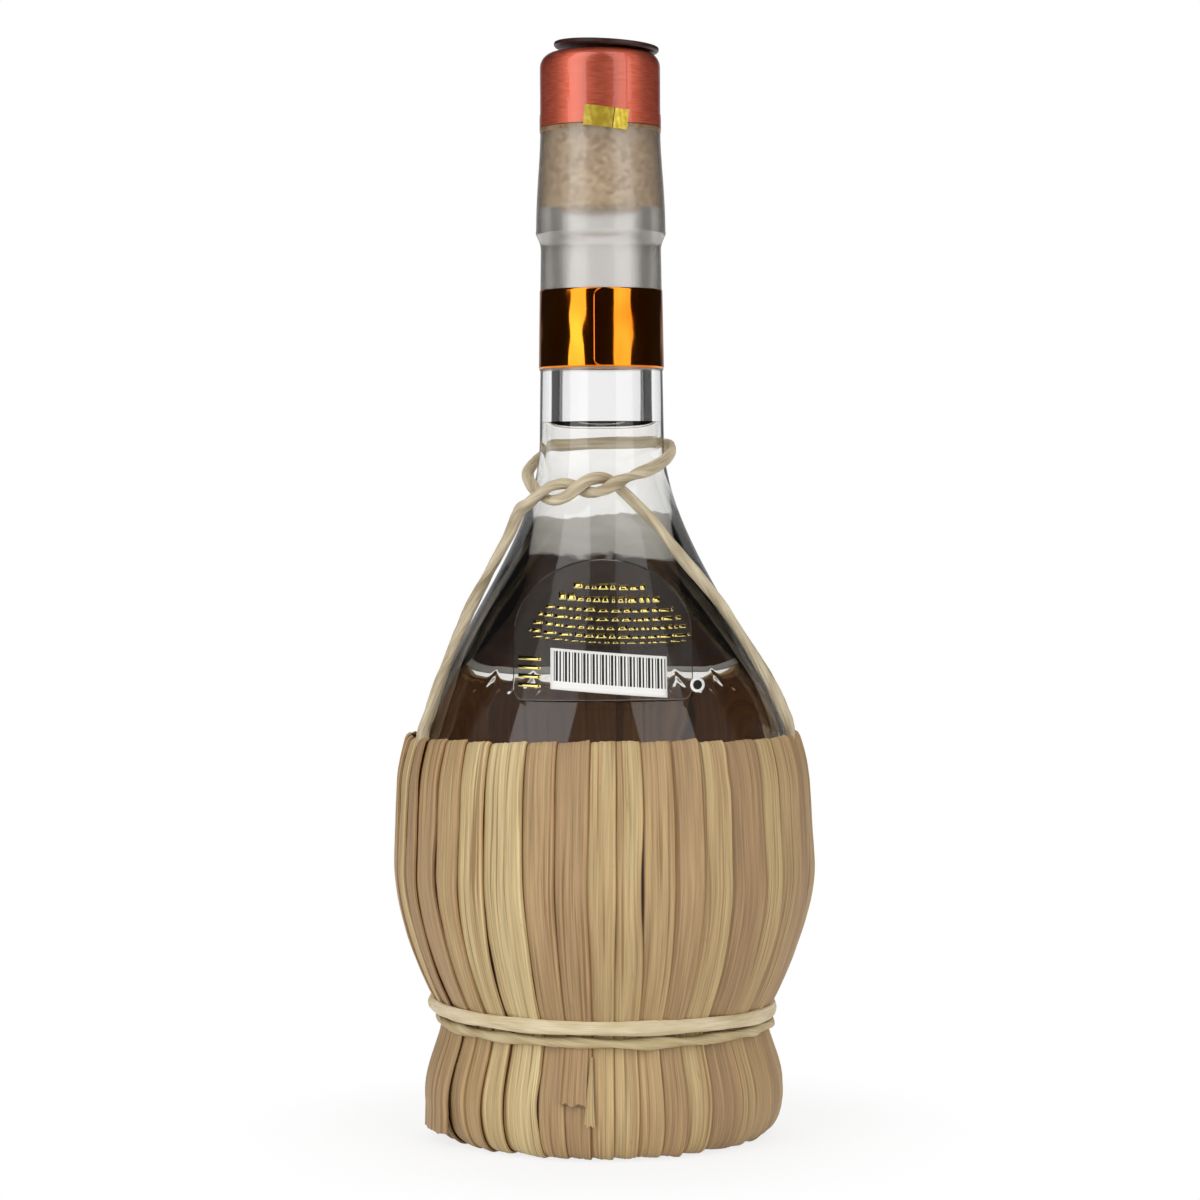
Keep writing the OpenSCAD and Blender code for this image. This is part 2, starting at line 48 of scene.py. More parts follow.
# Glass
MOUTH_R, MOUTH_Z, LIP_R, BORE_R = 14.2, 240.2, 1.2, 10.0
NECK_R, NECK_FOOT_R, COLLAR_R = 14.2, 14.9, 15.3
COLLAR_FOOT_Z, COLLAR_TOP_Z, SHOULDER_Z = 211.0, 215.6, 165.3
NECK_SWEEP, BELLY_SWEEP = 27.2, 25.4
BELLY_R, BELLY_TOP_Z, BELLY_FOOT_Z, BELLY_DROP = 46.3, 83.5, 65.0, 17.4
HEEL_R, HEEL_REACH, HEEL_Z, HEEL_W, PUNT_H = 24.0, 4.5, 9.0, 4.0, 11.0
WALL, BOTTOM_T = 3.8, 5.0
FILL_Z, MENISCUS, MENISCUS_REACH = 167.8, 1.9, 2.0
# Basket
LEAF_COUNT, LEAF_START, LEAF_T, LEAF_CLIMB, LEAF_LAP = 40, 177.4, 0.6, 1.7, 1.58
# The dried leaves themselves are thinner than the solids and lie flatter, with the same outer surface
THIN_T, THIN_CLIMB, RIM_RISE = 0.45, 1.15, 1.2
RIM_Z, RIM_CURL, SLACK, SLACK_SKEW, STRAW_GAP = 95.3, 1.0, 1.8, 0.63, 0.3
WAIST_Z, SKIRT_R, SKIRT_Z, SKIRT_CORNER, LEAF_END_R, LEAF_LIFT = 28.8, 42.6, 11.0, 5.6, 30.3, 0.1
# Cords
WAIST_CORD_R, WAIST_TURNS, WAIST_PITCH, TIE_GAP = 1.2, 2, 3.6, 0.15
NECK_CORD_R = 1.4
# Film, band and tab
FILM_T, FILM_GAP, FILM_FOOT_Z = 0.15, 0.06, 182.0
TEAR_H, TEAR_GAP = 4.2, 0.22
TAB_ROOT_L, TAB_L, TAB_H, TAB_TILT, TAB_FOLD_A = 7.2, 3.4, 4.8, 7.0, 282.7
BAND_H, BAND_UP, BAND_T = 18.8, 0.4, 0.1
# Stopper
HEAD_R, HEAD_H, HEAD_CORNER, SHELL_T, SEAT_GAP, CROWN_HEM = 14.2, 17.8, 3.4, 0.8, 0.1, 0.7
SHANK_GAP, SHANK_L, SHANK_GRIP = 0.1, 20.5, 6.0
DISC_R, DISC_T, DISC_DOME, DISC_TILT, DISC_SHIFT = 12.6, 1.2, 1.0, 3.5, 1.5

HEAD_Z = MOUTH_Z + SEAT_GAP
HEAD_TOP_Z = HEAD_Z + HEAD_H
SLEEVE_TOP_Z = MOUTH_Z - LIP_R
TEAR_TOP_Z = SLEEVE_TOP_Z + TEAR_H
LEAF_STACK = LEAF_CLIMB + LEAF_T


# Curves and profiles

def cubic(a, b, c, d, n):
    """n + 1 points of the cubic curve from a to d with the pulls b and c: each point's Bernstein share at even steps."""
    t = np.linspace(0, 1, n + 1)[:, None]
    a, b, c, d = (np.array(p, float) for p in (a, b, c, d))
    return (1 - t) ** 3 * a + 3 * (1 - t) ** 2 * t * b + 3 * (1 - t) * t ** 2 * c + t ** 3 * d


def along(points):
    """Distance along a row of points: the running sum of the steps' lengths, from 0."""
    return np.concatenate([[0], np.cumsum(np.linalg.norm(np.diff(points, axis=0), axis=1))])


def resample(points, count):
    """count points at even distances along a row of points, by straight interpolation between them."""
    s = along(points)
    t = np.linspace(0, s[-1], count)
    return np.stack([np.interp(t, s, points[:, k]) for k in range(points.shape[1])], axis=1)


def smooth_noise(x, seed, octaves=3):
    """Smooth noise about -1 to 1: a sum of sines whose pitch doubles and height halves, with seeded phases."""
    rng = np.random.default_rng(seed)
    total = np.zeros_like(np.asarray(x, float))
    for k in range(octaves):
        a, b = rng.uniform(0, TURN, 2)
        total += (np.sin(2 ** k * x + a) + np.sin(2 ** k * 1.618 * x + b)) / 2 ** (k + 1)
    return total


def ease(low, high, x):
    """Smooth step from 0 at low to 1 at high: 3 t^2 - 2 t^3 of the clamped share t."""
    t = np.clip((x - low) / (high - low), 0, 1)
    return t * t * (3 - 2 * t)


lip_turn = np.linspace(0, np.pi / 2, 7)
lip_row = np.stack([MOUTH_R - LIP_R + LIP_R * np.sin(lip_turn), MOUTH_Z - LIP_R + LIP_R * np.cos(lip_turn)], 1)
collar_row = np.concatenate([
    cubic((MOUTH_R, SLEEVE_TOP_Z), (MOUTH_R, SLEEVE_TOP_Z - 6), (COLLAR_R, COLLAR_TOP_Z + 9),
          (COLLAR_R, COLLAR_TOP_Z), 24)[1:],
    cubic((COLLAR_R, COLLAR_TOP_Z), (COLLAR_R, COLLAR_TOP_Z - 2.07), (NECK_R, COLLAR_FOOT_Z + 2.07),
          (NECK_R, COLLAR_FOOT_Z), 14)[1:]])
shoulder_row = cubic((NECK_FOOT_R, SHOULDER_Z), (NECK_FOOT_R, SHOULDER_Z - NECK_SWEEP),
                     (BELLY_R, BELLY_TOP_Z + BELLY_SWEEP), (BELLY_R, BELLY_TOP_Z), 90)
lower_row = cubic((BELLY_R, BELLY_FOOT_Z), (BELLY_R, BELLY_FOOT_Z - BELLY_DROP),
                  (HEEL_R + HEEL_REACH, HEEL_Z), (HEEL_R, HEEL_Z), 50)
outside_row = np.concatenate([lip_row, collar_row, shoulder_row, lower_row])
PUNT_R = HEEL_R - HEEL_W


def glass_at(z):
    """Outer radius of the glass at height z, read off its profile."""
    row = outside_row[6:][::-1]
    return np.interp(z, row[:, 1], row[:, 0])


def basket_at(z):
    """Outer radius of the basket above the tie: glass + gap + leaf stack + the slack's skewed sine."""
    share = np.clip((z - WAIST_Z) / (RIM_Z - WAIST_Z), 0, 1)
    return glass_at(z) + STRAW_GAP + LEAF_STACK + SLACK * np.sin(np.pi * share ** SLACK_SKEW)


# Meshes

def surface(name, grid, wrap=False, ends=False, uv=None, values=None, sharp=50.0):
    """Object over a grid of points in millimetres: cell (i, j) is the face through points (i, j), (i, j + 1),
    (i + 1, j + 1) and (i + 1, j). wrap joins the last column to the first, and ends closes the first and the
    last row with one face each. uv has a column more than the grid where it wraps. Doubles are merged and
    the faces turned outwards."""
    rows, cols = grid.shape[:2]
    wide = cols if wrap else cols - 1
    i, j = np.meshgrid(np.arange(rows - 1), np.arange(wide), indexing="ij")
    k = (j + 1) % cols
    loops = np.stack([i * cols + j, i * cols + k, (i + 1) * cols + k, (i + 1) * cols + j], -1).reshape(-1)
    sizes = np.full(len(loops) // 4, 4)
    coordinates = None
    if uv is not None:
        coordinates = np.stack([uv[i, j], uv[i, j + 1], uv[i + 1, j + 1], uv[i + 1, j]], 2).reshape(-1, 2)
    if ends:
        first, last = np.arange(cols)[::-1], (rows - 1) * cols + np.arange(cols)
        loops = np.concatenate([loops, first, last])
        sizes = np.concatenate([sizes, [cols, cols]])
        if uv is not None:
            coordinates = np.concatenate([coordinates, uv[0, :cols][::-1], uv[-1, :cols]])
    mesh = bpy.data.meshes.new(name)
    mesh.vertices.add(rows * cols)
    mesh.vertices.foreach_set("co", (grid * MM).astype(np.float32).ravel())
    mesh.loops.add(len(loops))
    mesh.loops.foreach_set("vertex_index", loops.astype(np.int32))
    mesh.polygons.add(len(sizes))
    mesh.polygons.foreach_set("loop_start", (np.cumsum(sizes) - sizes).astype(np.int32))
    mesh.update(calc_edges=True)
    if uv is not None:
        layer = mesh.uv_layers.new(name="UVMap")
        layer.data.foreach_set("uv", coordinates.astype(np.float32).ravel())
    for key, value in (values or {}).items():
        attribute = mesh.attributes.new(key, "FLOAT", "POINT")
        attribute.data.foreach_set("value", np.broadcast_to(value, (rows, cols)).astype(np.float32).ravel())
    tidy_mesh(mesh, sharp)
    piece = bpy.data.objects.new(name, mesh)
    bpy.context.scene.collection.objects.link(piece)
    return piece


def tidy_mesh(mesh, sharp):
    """Merges doubled points, turns the faces outwards and shades smooth up to the sharp angle."""
    import bmesh
    work = bmesh.new()
    work.from_mesh(mesh)
    bmesh.ops.remove_doubles(work, verts=work.verts, dist=1e-7)
    bmesh.ops.recalc_face_normals(work, faces=work.faces)
    work.to_mesh(mesh)
    work.free()
    mesh.polygons.foreach_set("use_smooth", np.ones(len(mesh.polygons), bool))
    mesh.set_sharp_from_angle(angle=math.radians(sharp))


def turned(profile, angles):
    """Grid of a profile turned about the axis: (r cos a, r sin a, z) for each profile point (r, z) and angle a."""
    r, z = profile[:, 0, None], profile[:, 1, None]
    return np.stack([r * np.cos(angles), r * np.sin(angles), z + 0 * angles], -1)


def ring_angles(count):
    """count angles round a full circle, without the last one."""
    return np.arange(count) * TURN / count


def revolve(name, profile, count=128, sharp=50.0, bumps=None):
    """Closed profile turned about the axis: the grid's rows follow the profile and its columns wrap round.
    bumps(r, z, a) is added to the radius."""
    angles = ring_angles(count)
    loop = np.concatenate([profile, profile[:1]])
    if bumps is not None:
        r, z = loop[:, 0, None], loop[:, 1, None]
        r = np.where(r > 0.01, r + bumps(r, z, angles[None, :]), r)
        grid = np.stack([r * np.cos(angles), r * np.sin(angles), z + 0 * r], -1)
    else:
        grid = turned(loop, angles)
    uv_angle = np.arange(count + 1) / count
    uv_along = along(loop) / 100
    uv = np.stack(np.broadcast_arrays(uv_angle[None, :], uv_along[:, None]), -1)
    return surface(name, grid, wrap=True, uv=uv, sharp=sharp)


def tube_frames(route, away):
    """Unit tangent, normal and side vectors along a route: the tangent is the central difference, the normal
    is the part of `away` square to it, and the side is their cross product."""
    tangent = np.gradient(route, axis=0)
    tangent /= np.linalg.norm(tangent, axis=1, keepdims=True)
    normal = away - (away * tangent).sum(1, keepdims=True) * tangent
    normal /= np.linalg.norm(normal, axis=1, keepdims=True)
    return tangent, normal, np.cross(tangent, normal)


def ribbon(name, route, thick, wide, turn, seed, sides=36, away=None, grooves=0.07, shade=0.0):
    """Raffia cord: rings along a route, each an ellipse of half-axes thick and wide turned by `turn` radians,
    with lengthwise grooves and folds: radius share = 1 + noise of the ring angle that drifts along the route.
    Rings shrink to a rounded tip over the first and last millimetre. shade, along the route, is its dull share."""
    if away is None:
        away = route * (1, 1, 0)
    _, normal, side = tube_frames(route, away)
    s = along(route)
    p = ring_angles(sides)[None, :]
    thick, wide, turn = (np.broadcast_to(v, s.shape)[:, None] for v in (thick, wide, turn))
    drift = 0.5 * smooth_noise(s / 9, seed)[:, None]
    wander = 0.35 * smooth_noise(s / 5, seed + 4)[:, None]
    share = 1 + grooves * smooth_noise(2 * p + drift, seed + 1) + 0.35 * grooves * np.sin(13 * p + 3 * wander)
    for centre, size, spread in ((1.1, 2.6, 0.2), (3.6, 1.8, 0.16), (5.2, 1.4, 0.14)):
        away_from = np.angle(np.exp(1j * (p - centre - drift - wander * centre / 4)))
        share = share - size * grooves * np.exp(-(away_from / spread) ** 2)
    share = share * (1 + 0.04 * smooth_noise(s / 4, seed + 3)[:, None])
    tip = np.sqrt(np.clip(np.minimum(s, s[-1] - s) / 1.0, 0.02, 1))[:, None]
    x = share * tip * thick * np.cos(p)
    y = share * tip * wide * np.sin(p)
    c, d = np.cos(turn), np.sin(turn)
    grid = route[:, None] + (x * c - y * d)[..., None] * normal[:, None] + (x * d + y * c)[..., None] * side[:, None]
    uv_round = np.arange(sides + 1) / sides
    uv = np.stack(np.broadcast_arrays(uv_round[None, :], s[:, None] / 10), -1)
    shade = np.broadcast_to(shade, s.shape)[:, None]
    return surface(name, grid, wrap=True, ends=True, uv=uv, values={"shade": shade}, sharp=80)


def through(points, steps):
    """Smooth row through given points: the Catmull-Rom cubic between each two, in even steps."""
    p = np.array(points, float)
    q = np.concatenate([p[:1], p, p[-1:]])
    t = (np.arange(steps) / steps)[None, :, None]
    a, b, c, d = (q[k:len(q) - 3 + k][:, None] for k in range(4))
    rows = 0.5 * (2 * b + (c - a) * t + (2 * a - 5 * b + 4 * c - d) * t ** 2 + (3 * b - a - 3 * c + d) * t ** 3)
    return np.concatenate([rows.reshape(-1, p.shape[1]), p[-1:]])


def wrapped(name, angles, heights, depth, thickness, **more):
    """Skin on the glass: the point at angle a and height z lies at the glass's radius plus depth there. A
    Solidify modifier gives it its thickness, outwards."""
    a, z, depth = np.broadcast_arrays(angles, heights, depth)
    r = glass_at(z) + depth
    grid = np.stack([r * np.cos(a), r * np.sin(a), z], -1)
    piece = surface(name, grid, **more)
    first = piece.data.polygons[0]
    if first.normal.dot(first.center * 1.0) - first.normal.z * first.center.z < 0:
        piece.data.flip_normals()
    wall = piece.modifiers.new("thickness", "SOLIDIFY")
    wall.thickness = thickness * MM
    wall.offset = 1
    return piece


# Materials

def linear(code, alpha=1.0):
    """sRGB hex to linear colour: c / 12.92 below 0.04045, and ((c + 0.055) / 1.055) ^ 2.4 above it."""
    c = [int(code[k:k + 2], 16) / 255 for k in (1, 3, 5)]
    return [v / 12.92 if v <= 0.04045 else ((v + 0.055) / 1.055) ** 2.4 for v in c] + [alpha]


def add(tree, kind, inputs=None, stops=None, **settings):
    """A node of that kind. settings are its own properties, inputs its sockets' values or the sockets that
    feed them, and stops the colours of its ramp by position."""
    node = tree.nodes.new("ShaderNode" + kind)
    for key, value in settings.items():
        setattr(node, key, value)
    for key, value in (inputs or {}).items():
        if isinstance(value, bpy.types.NodeSocket):
            tree.links.new(value, node.inputs[key])
        else:
            node.inputs[key].default_value = value
    if stops:
        ramp = node.color_ramp.elements
        for _ in range(len(stops) - 2):
            ramp.new(0.5)
        for element, (place, colour) in zip(ramp, stops):
            element.position = place
            element.color = colour
    return node


def material(name):
    """New node material: its tree, its Principled shader and the material itself."""
    new = bpy.data.materials.new(name)
    new.use_nodes = True
    return new.node_tree, new.node_tree.nodes["Principled BSDF"], new


def fill(shader, **values):
    """Sets the shader's sockets: underscores stand for the spaces in their names."""
    for key, value in values.items():
        shader.inputs[key.replace("_", " ")].default_value = value


def let_light_through(tree, shader, tint, thin=False):
    """Lamp light and light bounced off matt surfaces pass straight through, tinted, so that what stands
    inside or behind is lit; the camera's rays meet the shader itself. So does light mirrored by metal behind
    a thin film."""
    path = add(tree, "LightPath").outputs
    soft = add(tree, "Math", {0: path["Is Shadow Ray"], 1: path["Is Diffuse Ray"]}, operation="MAXIMUM").outputs[0]
    if thin:
        soft = add(tree, "Math", {0: soft, 1: path["Is Glossy Ray"]}, operation="MAXIMUM").outputs[0]
    clear = add(tree, "BsdfTransparent", {"Color": linear(tint)}).outputs[0]
    mixed = add(tree, "MixShader", {0: soft, 1: shader.outputs[0], 2: clear}).outputs[0]
    tree.links.new(mixed, tree.nodes["Material Output"].inputs[0])


def flint_glass():
    """Flint glass, pressed and blown: clear, sharp reflections, faintly grey in its thick parts."""
    tree, shader, new = material("flint_glass")
    fill(shader, Base_Color=linear("#fdfdfd"), Roughness=0.0, IOR=1.5, Transmission_Weight=1.0)
    place = add(tree, "TexCoord").outputs["Object"]
    scale = add(tree, "Mapping", {"Vector": place, "Scale": (60, 60, 22)}).outputs[0]
    wave = add(tree, "TexNoise", {"Vector": scale, "Scale": 1.0, "Detail": 1.0})
    bump = add(tree, "Bump", {"Height": wave.outputs[0], "Strength": 0.12, "Distance": 0.001})
    tree.links.new(bump.outputs[0], shader.inputs["Normal"])
    let_light_through(tree, shader, "#fbfbfa")
    return new


def grape_spirit():
    """Grape spirit rested on wood: a clear liquid, faintly straw-coloured."""
    tree, shader, new = material("grape_spirit")
    fill(shader, Base_Color=linear("#fefdfa"), Roughness=0.0, IOR=1.36, Transmission_Weight=1.0)
    let_light_through(tree, shader, "#fefdfb")
    return new


def dried_leaf():
    """Dried marsh leaf, split and pressed flat: matt, with lengthwise fibres, veins and broad colour bands.
    UV is in centimetres, across and along the leaf. tone runs from pink-brown to pale straw, and share across the leaf
    from its tucked to its open edge. The colour has painted shade and light by share: dark where the neighbouring leaf
    covers it and on the inner side, and a painted highlight beside a dark painted line along the open edge. A third
    attribute paints dark shadow into crevices."""
    tree, shader, new = material("dried_leaf")
    uv = add(tree, "UVMap").outputs[0]
    tone = add(tree, "Attribute", attribute_name="tone").outputs["Fac"]
    share = add(tree, "Attribute", attribute_name="share").outputs["Fac"]
    # Painted shadow: dark brown in the crevices where the neighbouring leaf's open edge draws back.
    crevice_shade = add(tree, "Attribute", attribute_name="crevice_shade").outputs["Fac"]
    bands = add(tree, "Mapping", {"Vector": uv, "Scale": (2.6, 0.12, 1)}).outputs[0]
    band = add(tree, "TexNoise", {"Vector": bands, "Scale": 1.0, "Detail": 2.0}).outputs[0]
    fibres = add(tree, "Mapping", {"Vector": uv, "Scale": (20, 0.35, 1)}).outputs[0]
    fibre = add(tree, "TexNoise", {"Vector": fibres, "Scale": 1.0, "Detail": 4.0, "Roughness": 0.6}).outputs[0]
    veins = add(tree, "Mapping", {"Vector": uv, "Scale": (11, 0.16, 1), "Location": (3.7, 1.3, 0)}).outputs[0]
    vein = add(tree, "TexNoise", {"Vector": veins, "Scale": 1.0, "Detail": 2.0}).outputs[0]
    blots = add(tree, "Mapping", {"Vector": uv, "Scale": (5, 1.2, 1), "Location": (9.1, 4.2, 0)}).outputs[0]
    blot = add(tree, "TexNoise", {"Vector": blots, "Scale": 1.0, "Detail": 3.0}).outputs[0]
    mixed_tone = add(tree, "Math", {0: band, 1: 0.9, 2: -0.45}, operation="MULTIPLY_ADD").outputs[0]
    mixed_tone = add(tree, "Math", {0: mixed_tone, 1: tone}, operation="ADD", use_clamp=True).outputs[0]
    colour = add(tree, "ValToRGB", {0: mixed_tone}, stops=[
        (0.0, linear("#a38460")), (0.3, linear("#b3946c")), (0.62, linear("#c0a475")),
        (1.0, linear("#d8c392"))]).outputs[0]
    streak = add(tree, "MapRange", {"Value": fibre, 1: 0.3, 2: 0.7, 3: 0.66, 4: 1.16}).outputs[0]
    colour = add(tree, "VectorMath", {0: colour, 1: streak}, operation="MULTIPLY").outputs[0]
    line = add(tree, "MapRange", {"Value": vein, 1: 0.56, 2: 0.66, 3: 0.0, 4: 0.72}).outputs[0]
    colour = add(tree, "Mix", {0: line, 6: colour, 7: linear("#86643c")}, data_type="RGBA").outputs[2]
    spot = add(tree, "MapRange", {"Value": blot, 1: 0.68, 2: 0.78, 3: 0.0, 4: 0.5}).outputs[0]
    colour = add(tree, "Mix", {0: spot, 6: colour, 7: linear("#94764a")}, data_type="RGBA").outputs[2]
    # Painted shade and light across the leaf: dark below share 0.4, where the neighbouring leaf covers it, and at 0.2
    # on the inner side; a painted highlight near the open edge and a dark painted line at its very edge.
    edge = add(tree, "ValToRGB", {0: share}, stops=[
        (0.0, (0.42, 0.22, 0.05, 1)), (0.4, (0.4, 0.24, 0.1, 1)), (0.43, (0.8, 0.77, 0.72, 1)),
        (0.5, (1, 1, 1, 1)), (0.9, (1, 1, 1, 1)), (0.965, (1.14, 1.14, 1.12, 1)), (1.0, (0.62, 0.54, 0.46, 1))]).outputs[0]
    colour = add(tree, "VectorMath", {0: colour, 1: edge}, operation="MULTIPLY").outputs[0]
    # Painted crevice shadow over the colour.
    colour = add(tree, "Mix", {0: crevice_shade, 6: colour, 7: linear("#3a1c12")}, data_type="RGBA").outputs[2]
    tree.links.new(colour, shader.inputs["Base Color"])
    rough = add(tree, "MapRange", {"Value": fibre, 1: 0.3, 2: 0.7, 3: 0.72, 4: 0.5}).outputs[0]
    tree.links.new(rough, shader.inputs["Roughness"])
    ridge = add(tree, "Math", {0: vein, 1: -0.6, 2: fibre}, operation="MULTIPLY_ADD").outputs[0]
    bump = add(tree, "Bump", {"Height": ridge, "Strength": 0.55, "Distance": 0.00022})
    tree.links.new(bump.outputs[0], shader.inputs["Normal"])
    fill(shader, Specular_IOR_Level=0.35)
    return new


def raffia(name, light, dark):
    """Raffia, a split palm leaf twisted into cord: pale, satin on its folds, with fine lengthwise fibres. Where
    the attribute shade is 1 it is the leaf's duller, greener underside."""
    tree, shader, new = material(name)
    uv = add(tree, "UVMap").outputs[0]
    fibres = add(tree, "Mapping", {"Vector": uv, "Scale": (26, 0.9, 1)}).outputs[0]
    fibre = add(tree, "TexNoise", {"Vector": fibres, "Scale": 1.0, "Detail": 3.0}).outputs[0]
    bands = add(tree, "Mapping", {"Vector": uv, "Scale": (3, 0.8, 1)}).outputs[0]
    band = add(tree, "TexNoise", {"Vector": bands, "Scale": 1.0, "Detail": 2.0}).outputs[0]
    share = add(tree, "Math", {0: fibre, 1: 0.55, 2: band}, operation="MULTIPLY_ADD").outputs[0]
    colour = add(tree, "ValToRGB", {0: share}, stops=[(0.5, linear(dark)), (1.0, linear(light))]).outputs[0]
    shade = add(tree, "Attribute", attribute_name="shade").outputs["Fac"]
    dull = add(tree, "VectorMath", {0: colour, 1: (0.82, 0.8, 0.7)}, operation="MULTIPLY").outputs[0]
    colour = add(tree, "Mix", {0: shade, 6: colour, 7: dull}, data_type="RGBA").outputs[2]
    tree.links.new(colour, shader.inputs["Base Color"])
    bump = add(tree, "Bump", {"Height": fibre, "Strength": 0.8, "Distance": 0.0003})
    tree.links.new(bump.outputs[0], shader.inputs["Normal"])
    fill(shader, Roughness=0.55, Specular_IOR_Level=0.3)
    return new


def shrink_film():
    """PVC shrink film, shrunk by heat: thin, frosted and greyish, so that what lies behind blurs. Its colour is painted
    darker towards the outline, the more obliquely it is seen: partly the longer path through the film, partly painted
    shade for the dark edges. A soft gloss lies on it."""
    tree, shader, new = material("shrink_film")
    fill(shader, Roughness=0.24, IOR=1.4, Transmission_Weight=0.96, Coat_Weight=0.7, Coat_Roughness=0.2)
    # Painted shade: a grey ramp by facing darkens the film towards its outline.
    outline_shade = add(tree, "LayerWeight", {"Blend": 0.4}).outputs["Facing"]
    grey = add(tree, "ValToRGB", {0: outline_shade}, stops=[
        (0.1, linear("#f0eeec")), (0.5, linear("#cdcac6")), (0.9, linear("#8a8783"))]).outputs[0]
    tree.links.new(grey, shader.inputs["Base Color"])
    place = add(tree, "TexCoord").outputs["Object"]
    scale = add(tree, "Mapping", {"Vector": place, "Scale": (900, 900, 90)}).outputs[0]
    ripple = add(tree, "TexNoise", {"Vector": scale, "Scale": 1.0, "Detail": 2.0})
    bump = add(tree, "Bump", {"Height": ripple.outputs[0], "Strength": 0.25, "Distance": 0.0003})
    tree.links.new(bump.outputs[0], shader.inputs["Normal"])
    let_light_through(tree, shader, "#f2efeb")
    return new


def crown_film():
    """The same film stretched over the head: clearer there, with a soft gloss."""
    tree, shader, new = material("crown_film")
    fill(shader, Base_Color=linear("#fff8f6"), Roughness=0.13, IOR=1.5, Transmission_Weight=1.0)
    place = add(tree, "TexCoord").outputs["Object"]
    scale = add(tree, "Mapping", {"Vector": place, "Scale": (400, 400, 60)}).outputs[0]
    ripple = add(tree, "TexNoise", {"Vector": scale, "Scale": 1.0, "Detail": 2.0})
    bump = add(tree, "Bump", {"Height": ripple.outputs[0], "Strength": 0.2, "Distance": 0.0004})
    tree.links.new(bump.outputs[0], shader.inputs["Normal"])
    let_light_through(tree, shader, "#f6f2f0", thin=True)
    return new


def red_aluminium():
    """Anodised aluminium, brushed fine and dyed red: satin, with a soft broad highlight."""
    tree, shader, new = material("red_aluminium")
    place = add(tree, "TexCoord").outputs["Object"]
    scale = add(tree, "Mapping", {"Vector": place, "Scale": (300, 300, 4000)}).outputs[0]
    grain = add(tree, "TexNoise", {"Vector": scale, "Scale": 1.0, "Detail": 2.0}).outputs[0]
    colour = add(tree, "ValToRGB", {0: grain}, stops=[
        (0.3, linear("#d8644a")), (0.7, linear("#e8806a"))]).outputs[0]
    tree.links.new(colour, shader.inputs["Base Color"])
    rough = add(tree, "MapRange", {"Value": grain, 1: 0.3, 2: 0.7, 3: 0.36, 4: 0.46}).outputs[0]
    tree.links.new(rough, shader.inputs["Roughness"])
    fill(shader, Metallic=0.85)
    return new


def metallised_film():
    """Metallised polyester film, copper-gold: a mirror with faint ripples, dark where it reflects the room."""
    tree, shader, new = material("metallised_film")
    place = add(tree, "TexCoord").outputs["Object"]
    scale = add(tree, "Mapping", {"Vector": place, "Scale": (170, 170, 70)}).outputs[0]
    ripple = add(tree, "TexNoise", {"Vector": scale, "Scale": 1.0, "Detail": 1.0}).outputs[0]
    colour = add(tree, "ValToRGB", {0: ripple}, stops=[
        (0.3, linear("#e8761a")), (0.7, linear("#f59a2a"))]).outputs[0]
    tree.links.new(colour, shader.inputs["Base Color"])
    bump = add(tree, "Bump", {"Height": ripple, "Strength": 0.4, "Distance": 0.0012})
    tree.links.new(bump.outputs[0], shader.inputs["Normal"])
    fill(shader, Metallic=1.0, Roughness=0.1)
    return new


def tear_tape(name, dark, light):
    """Polypropylene tear tape, gold-yellow and glossy, a little worn; duller where it is bonded down."""
    tree, shader, new = material(name)
    place = add(tree, "TexCoord").outputs["Object"]
    cloud = add(tree, "TexNoise", {"Vector": place, "Scale": 700.0, "Detail": 3.0}).outputs[0]
    colour = add(tree, "ValToRGB", {0: cloud}, stops=[
        (0.35, linear(dark)), (0.7, linear(light))]).outputs[0]
    tree.links.new(colour, shader.inputs["Base Color"])
    fill(shader, Roughness=0.3, Metallic=0.3)
    return new


def dark_disc():
    """Polyester disc, dark brown and glossy, with a worn paler edge."""
    tree, shader, new = material("dark_disc")
    place = add(tree, "TexCoord").outputs["Object"]
    cloud = add(tree, "TexNoise", {"Vector": place, "Scale": 260.0, "Detail": 4.0}).outputs[0]
    colour = add(tree, "ValToRGB", {0: cloud}, stops=[
        (0.4, linear("#2c1814")), (0.75, linear("#4c2e26"))]).outputs[0]
    tree.links.new(colour, shader.inputs["Base Color"])
    fill(shader, Roughness=0.4, Specular_IOR_Level=0.3)
    return new


def moulded_polythene():
    """Low-density polythene, moulded: black, waxy and smooth."""
    tree, shader, new = material("moulded_polythene")
    place = add(tree, "TexCoord").outputs["Object"]
    cloud = add(tree, "TexNoise", {"Vector": place, "Scale": 900.0, "Detail": 2.0}).outputs[0]
    rough = add(tree, "MapRange", {"Value": cloud, 3: 0.42, 4: 0.55}).outputs[0]
    tree.links.new(rough, shader.inputs["Roughness"])
    fill(shader, Base_Color=linear("#202020"))
    return new


def agglomerated_cork():
    """Micro-agglomerated cork, ground from 1 mm grains: warm beige with darker grains."""
    tree, shader, new = material("agglomerated_cork")
    place = add(tree, "TexCoord").outputs["Object"]
    grain = add(tree, "TexVoronoi", {"Vector": place, "Scale": 900.0})
    colour = add(tree, "ValToRGB", {0: grain.outputs["Color"]}, stops=[
        (0.1, linear("#a98a64")), (0.8, linear("#d8c09a"))]).outputs[0]
    tree.links.new(colour, shader.inputs["Base Color"])
    bump = add(tree, "Bump", {"Height": grain.outputs["Distance"], "Strength": 0.3, "Distance": 0.0002})
    tree.links.new(bump.outputs[0], shader.inputs["Normal"])
    fill(shader, Roughness=0.8)
    return new


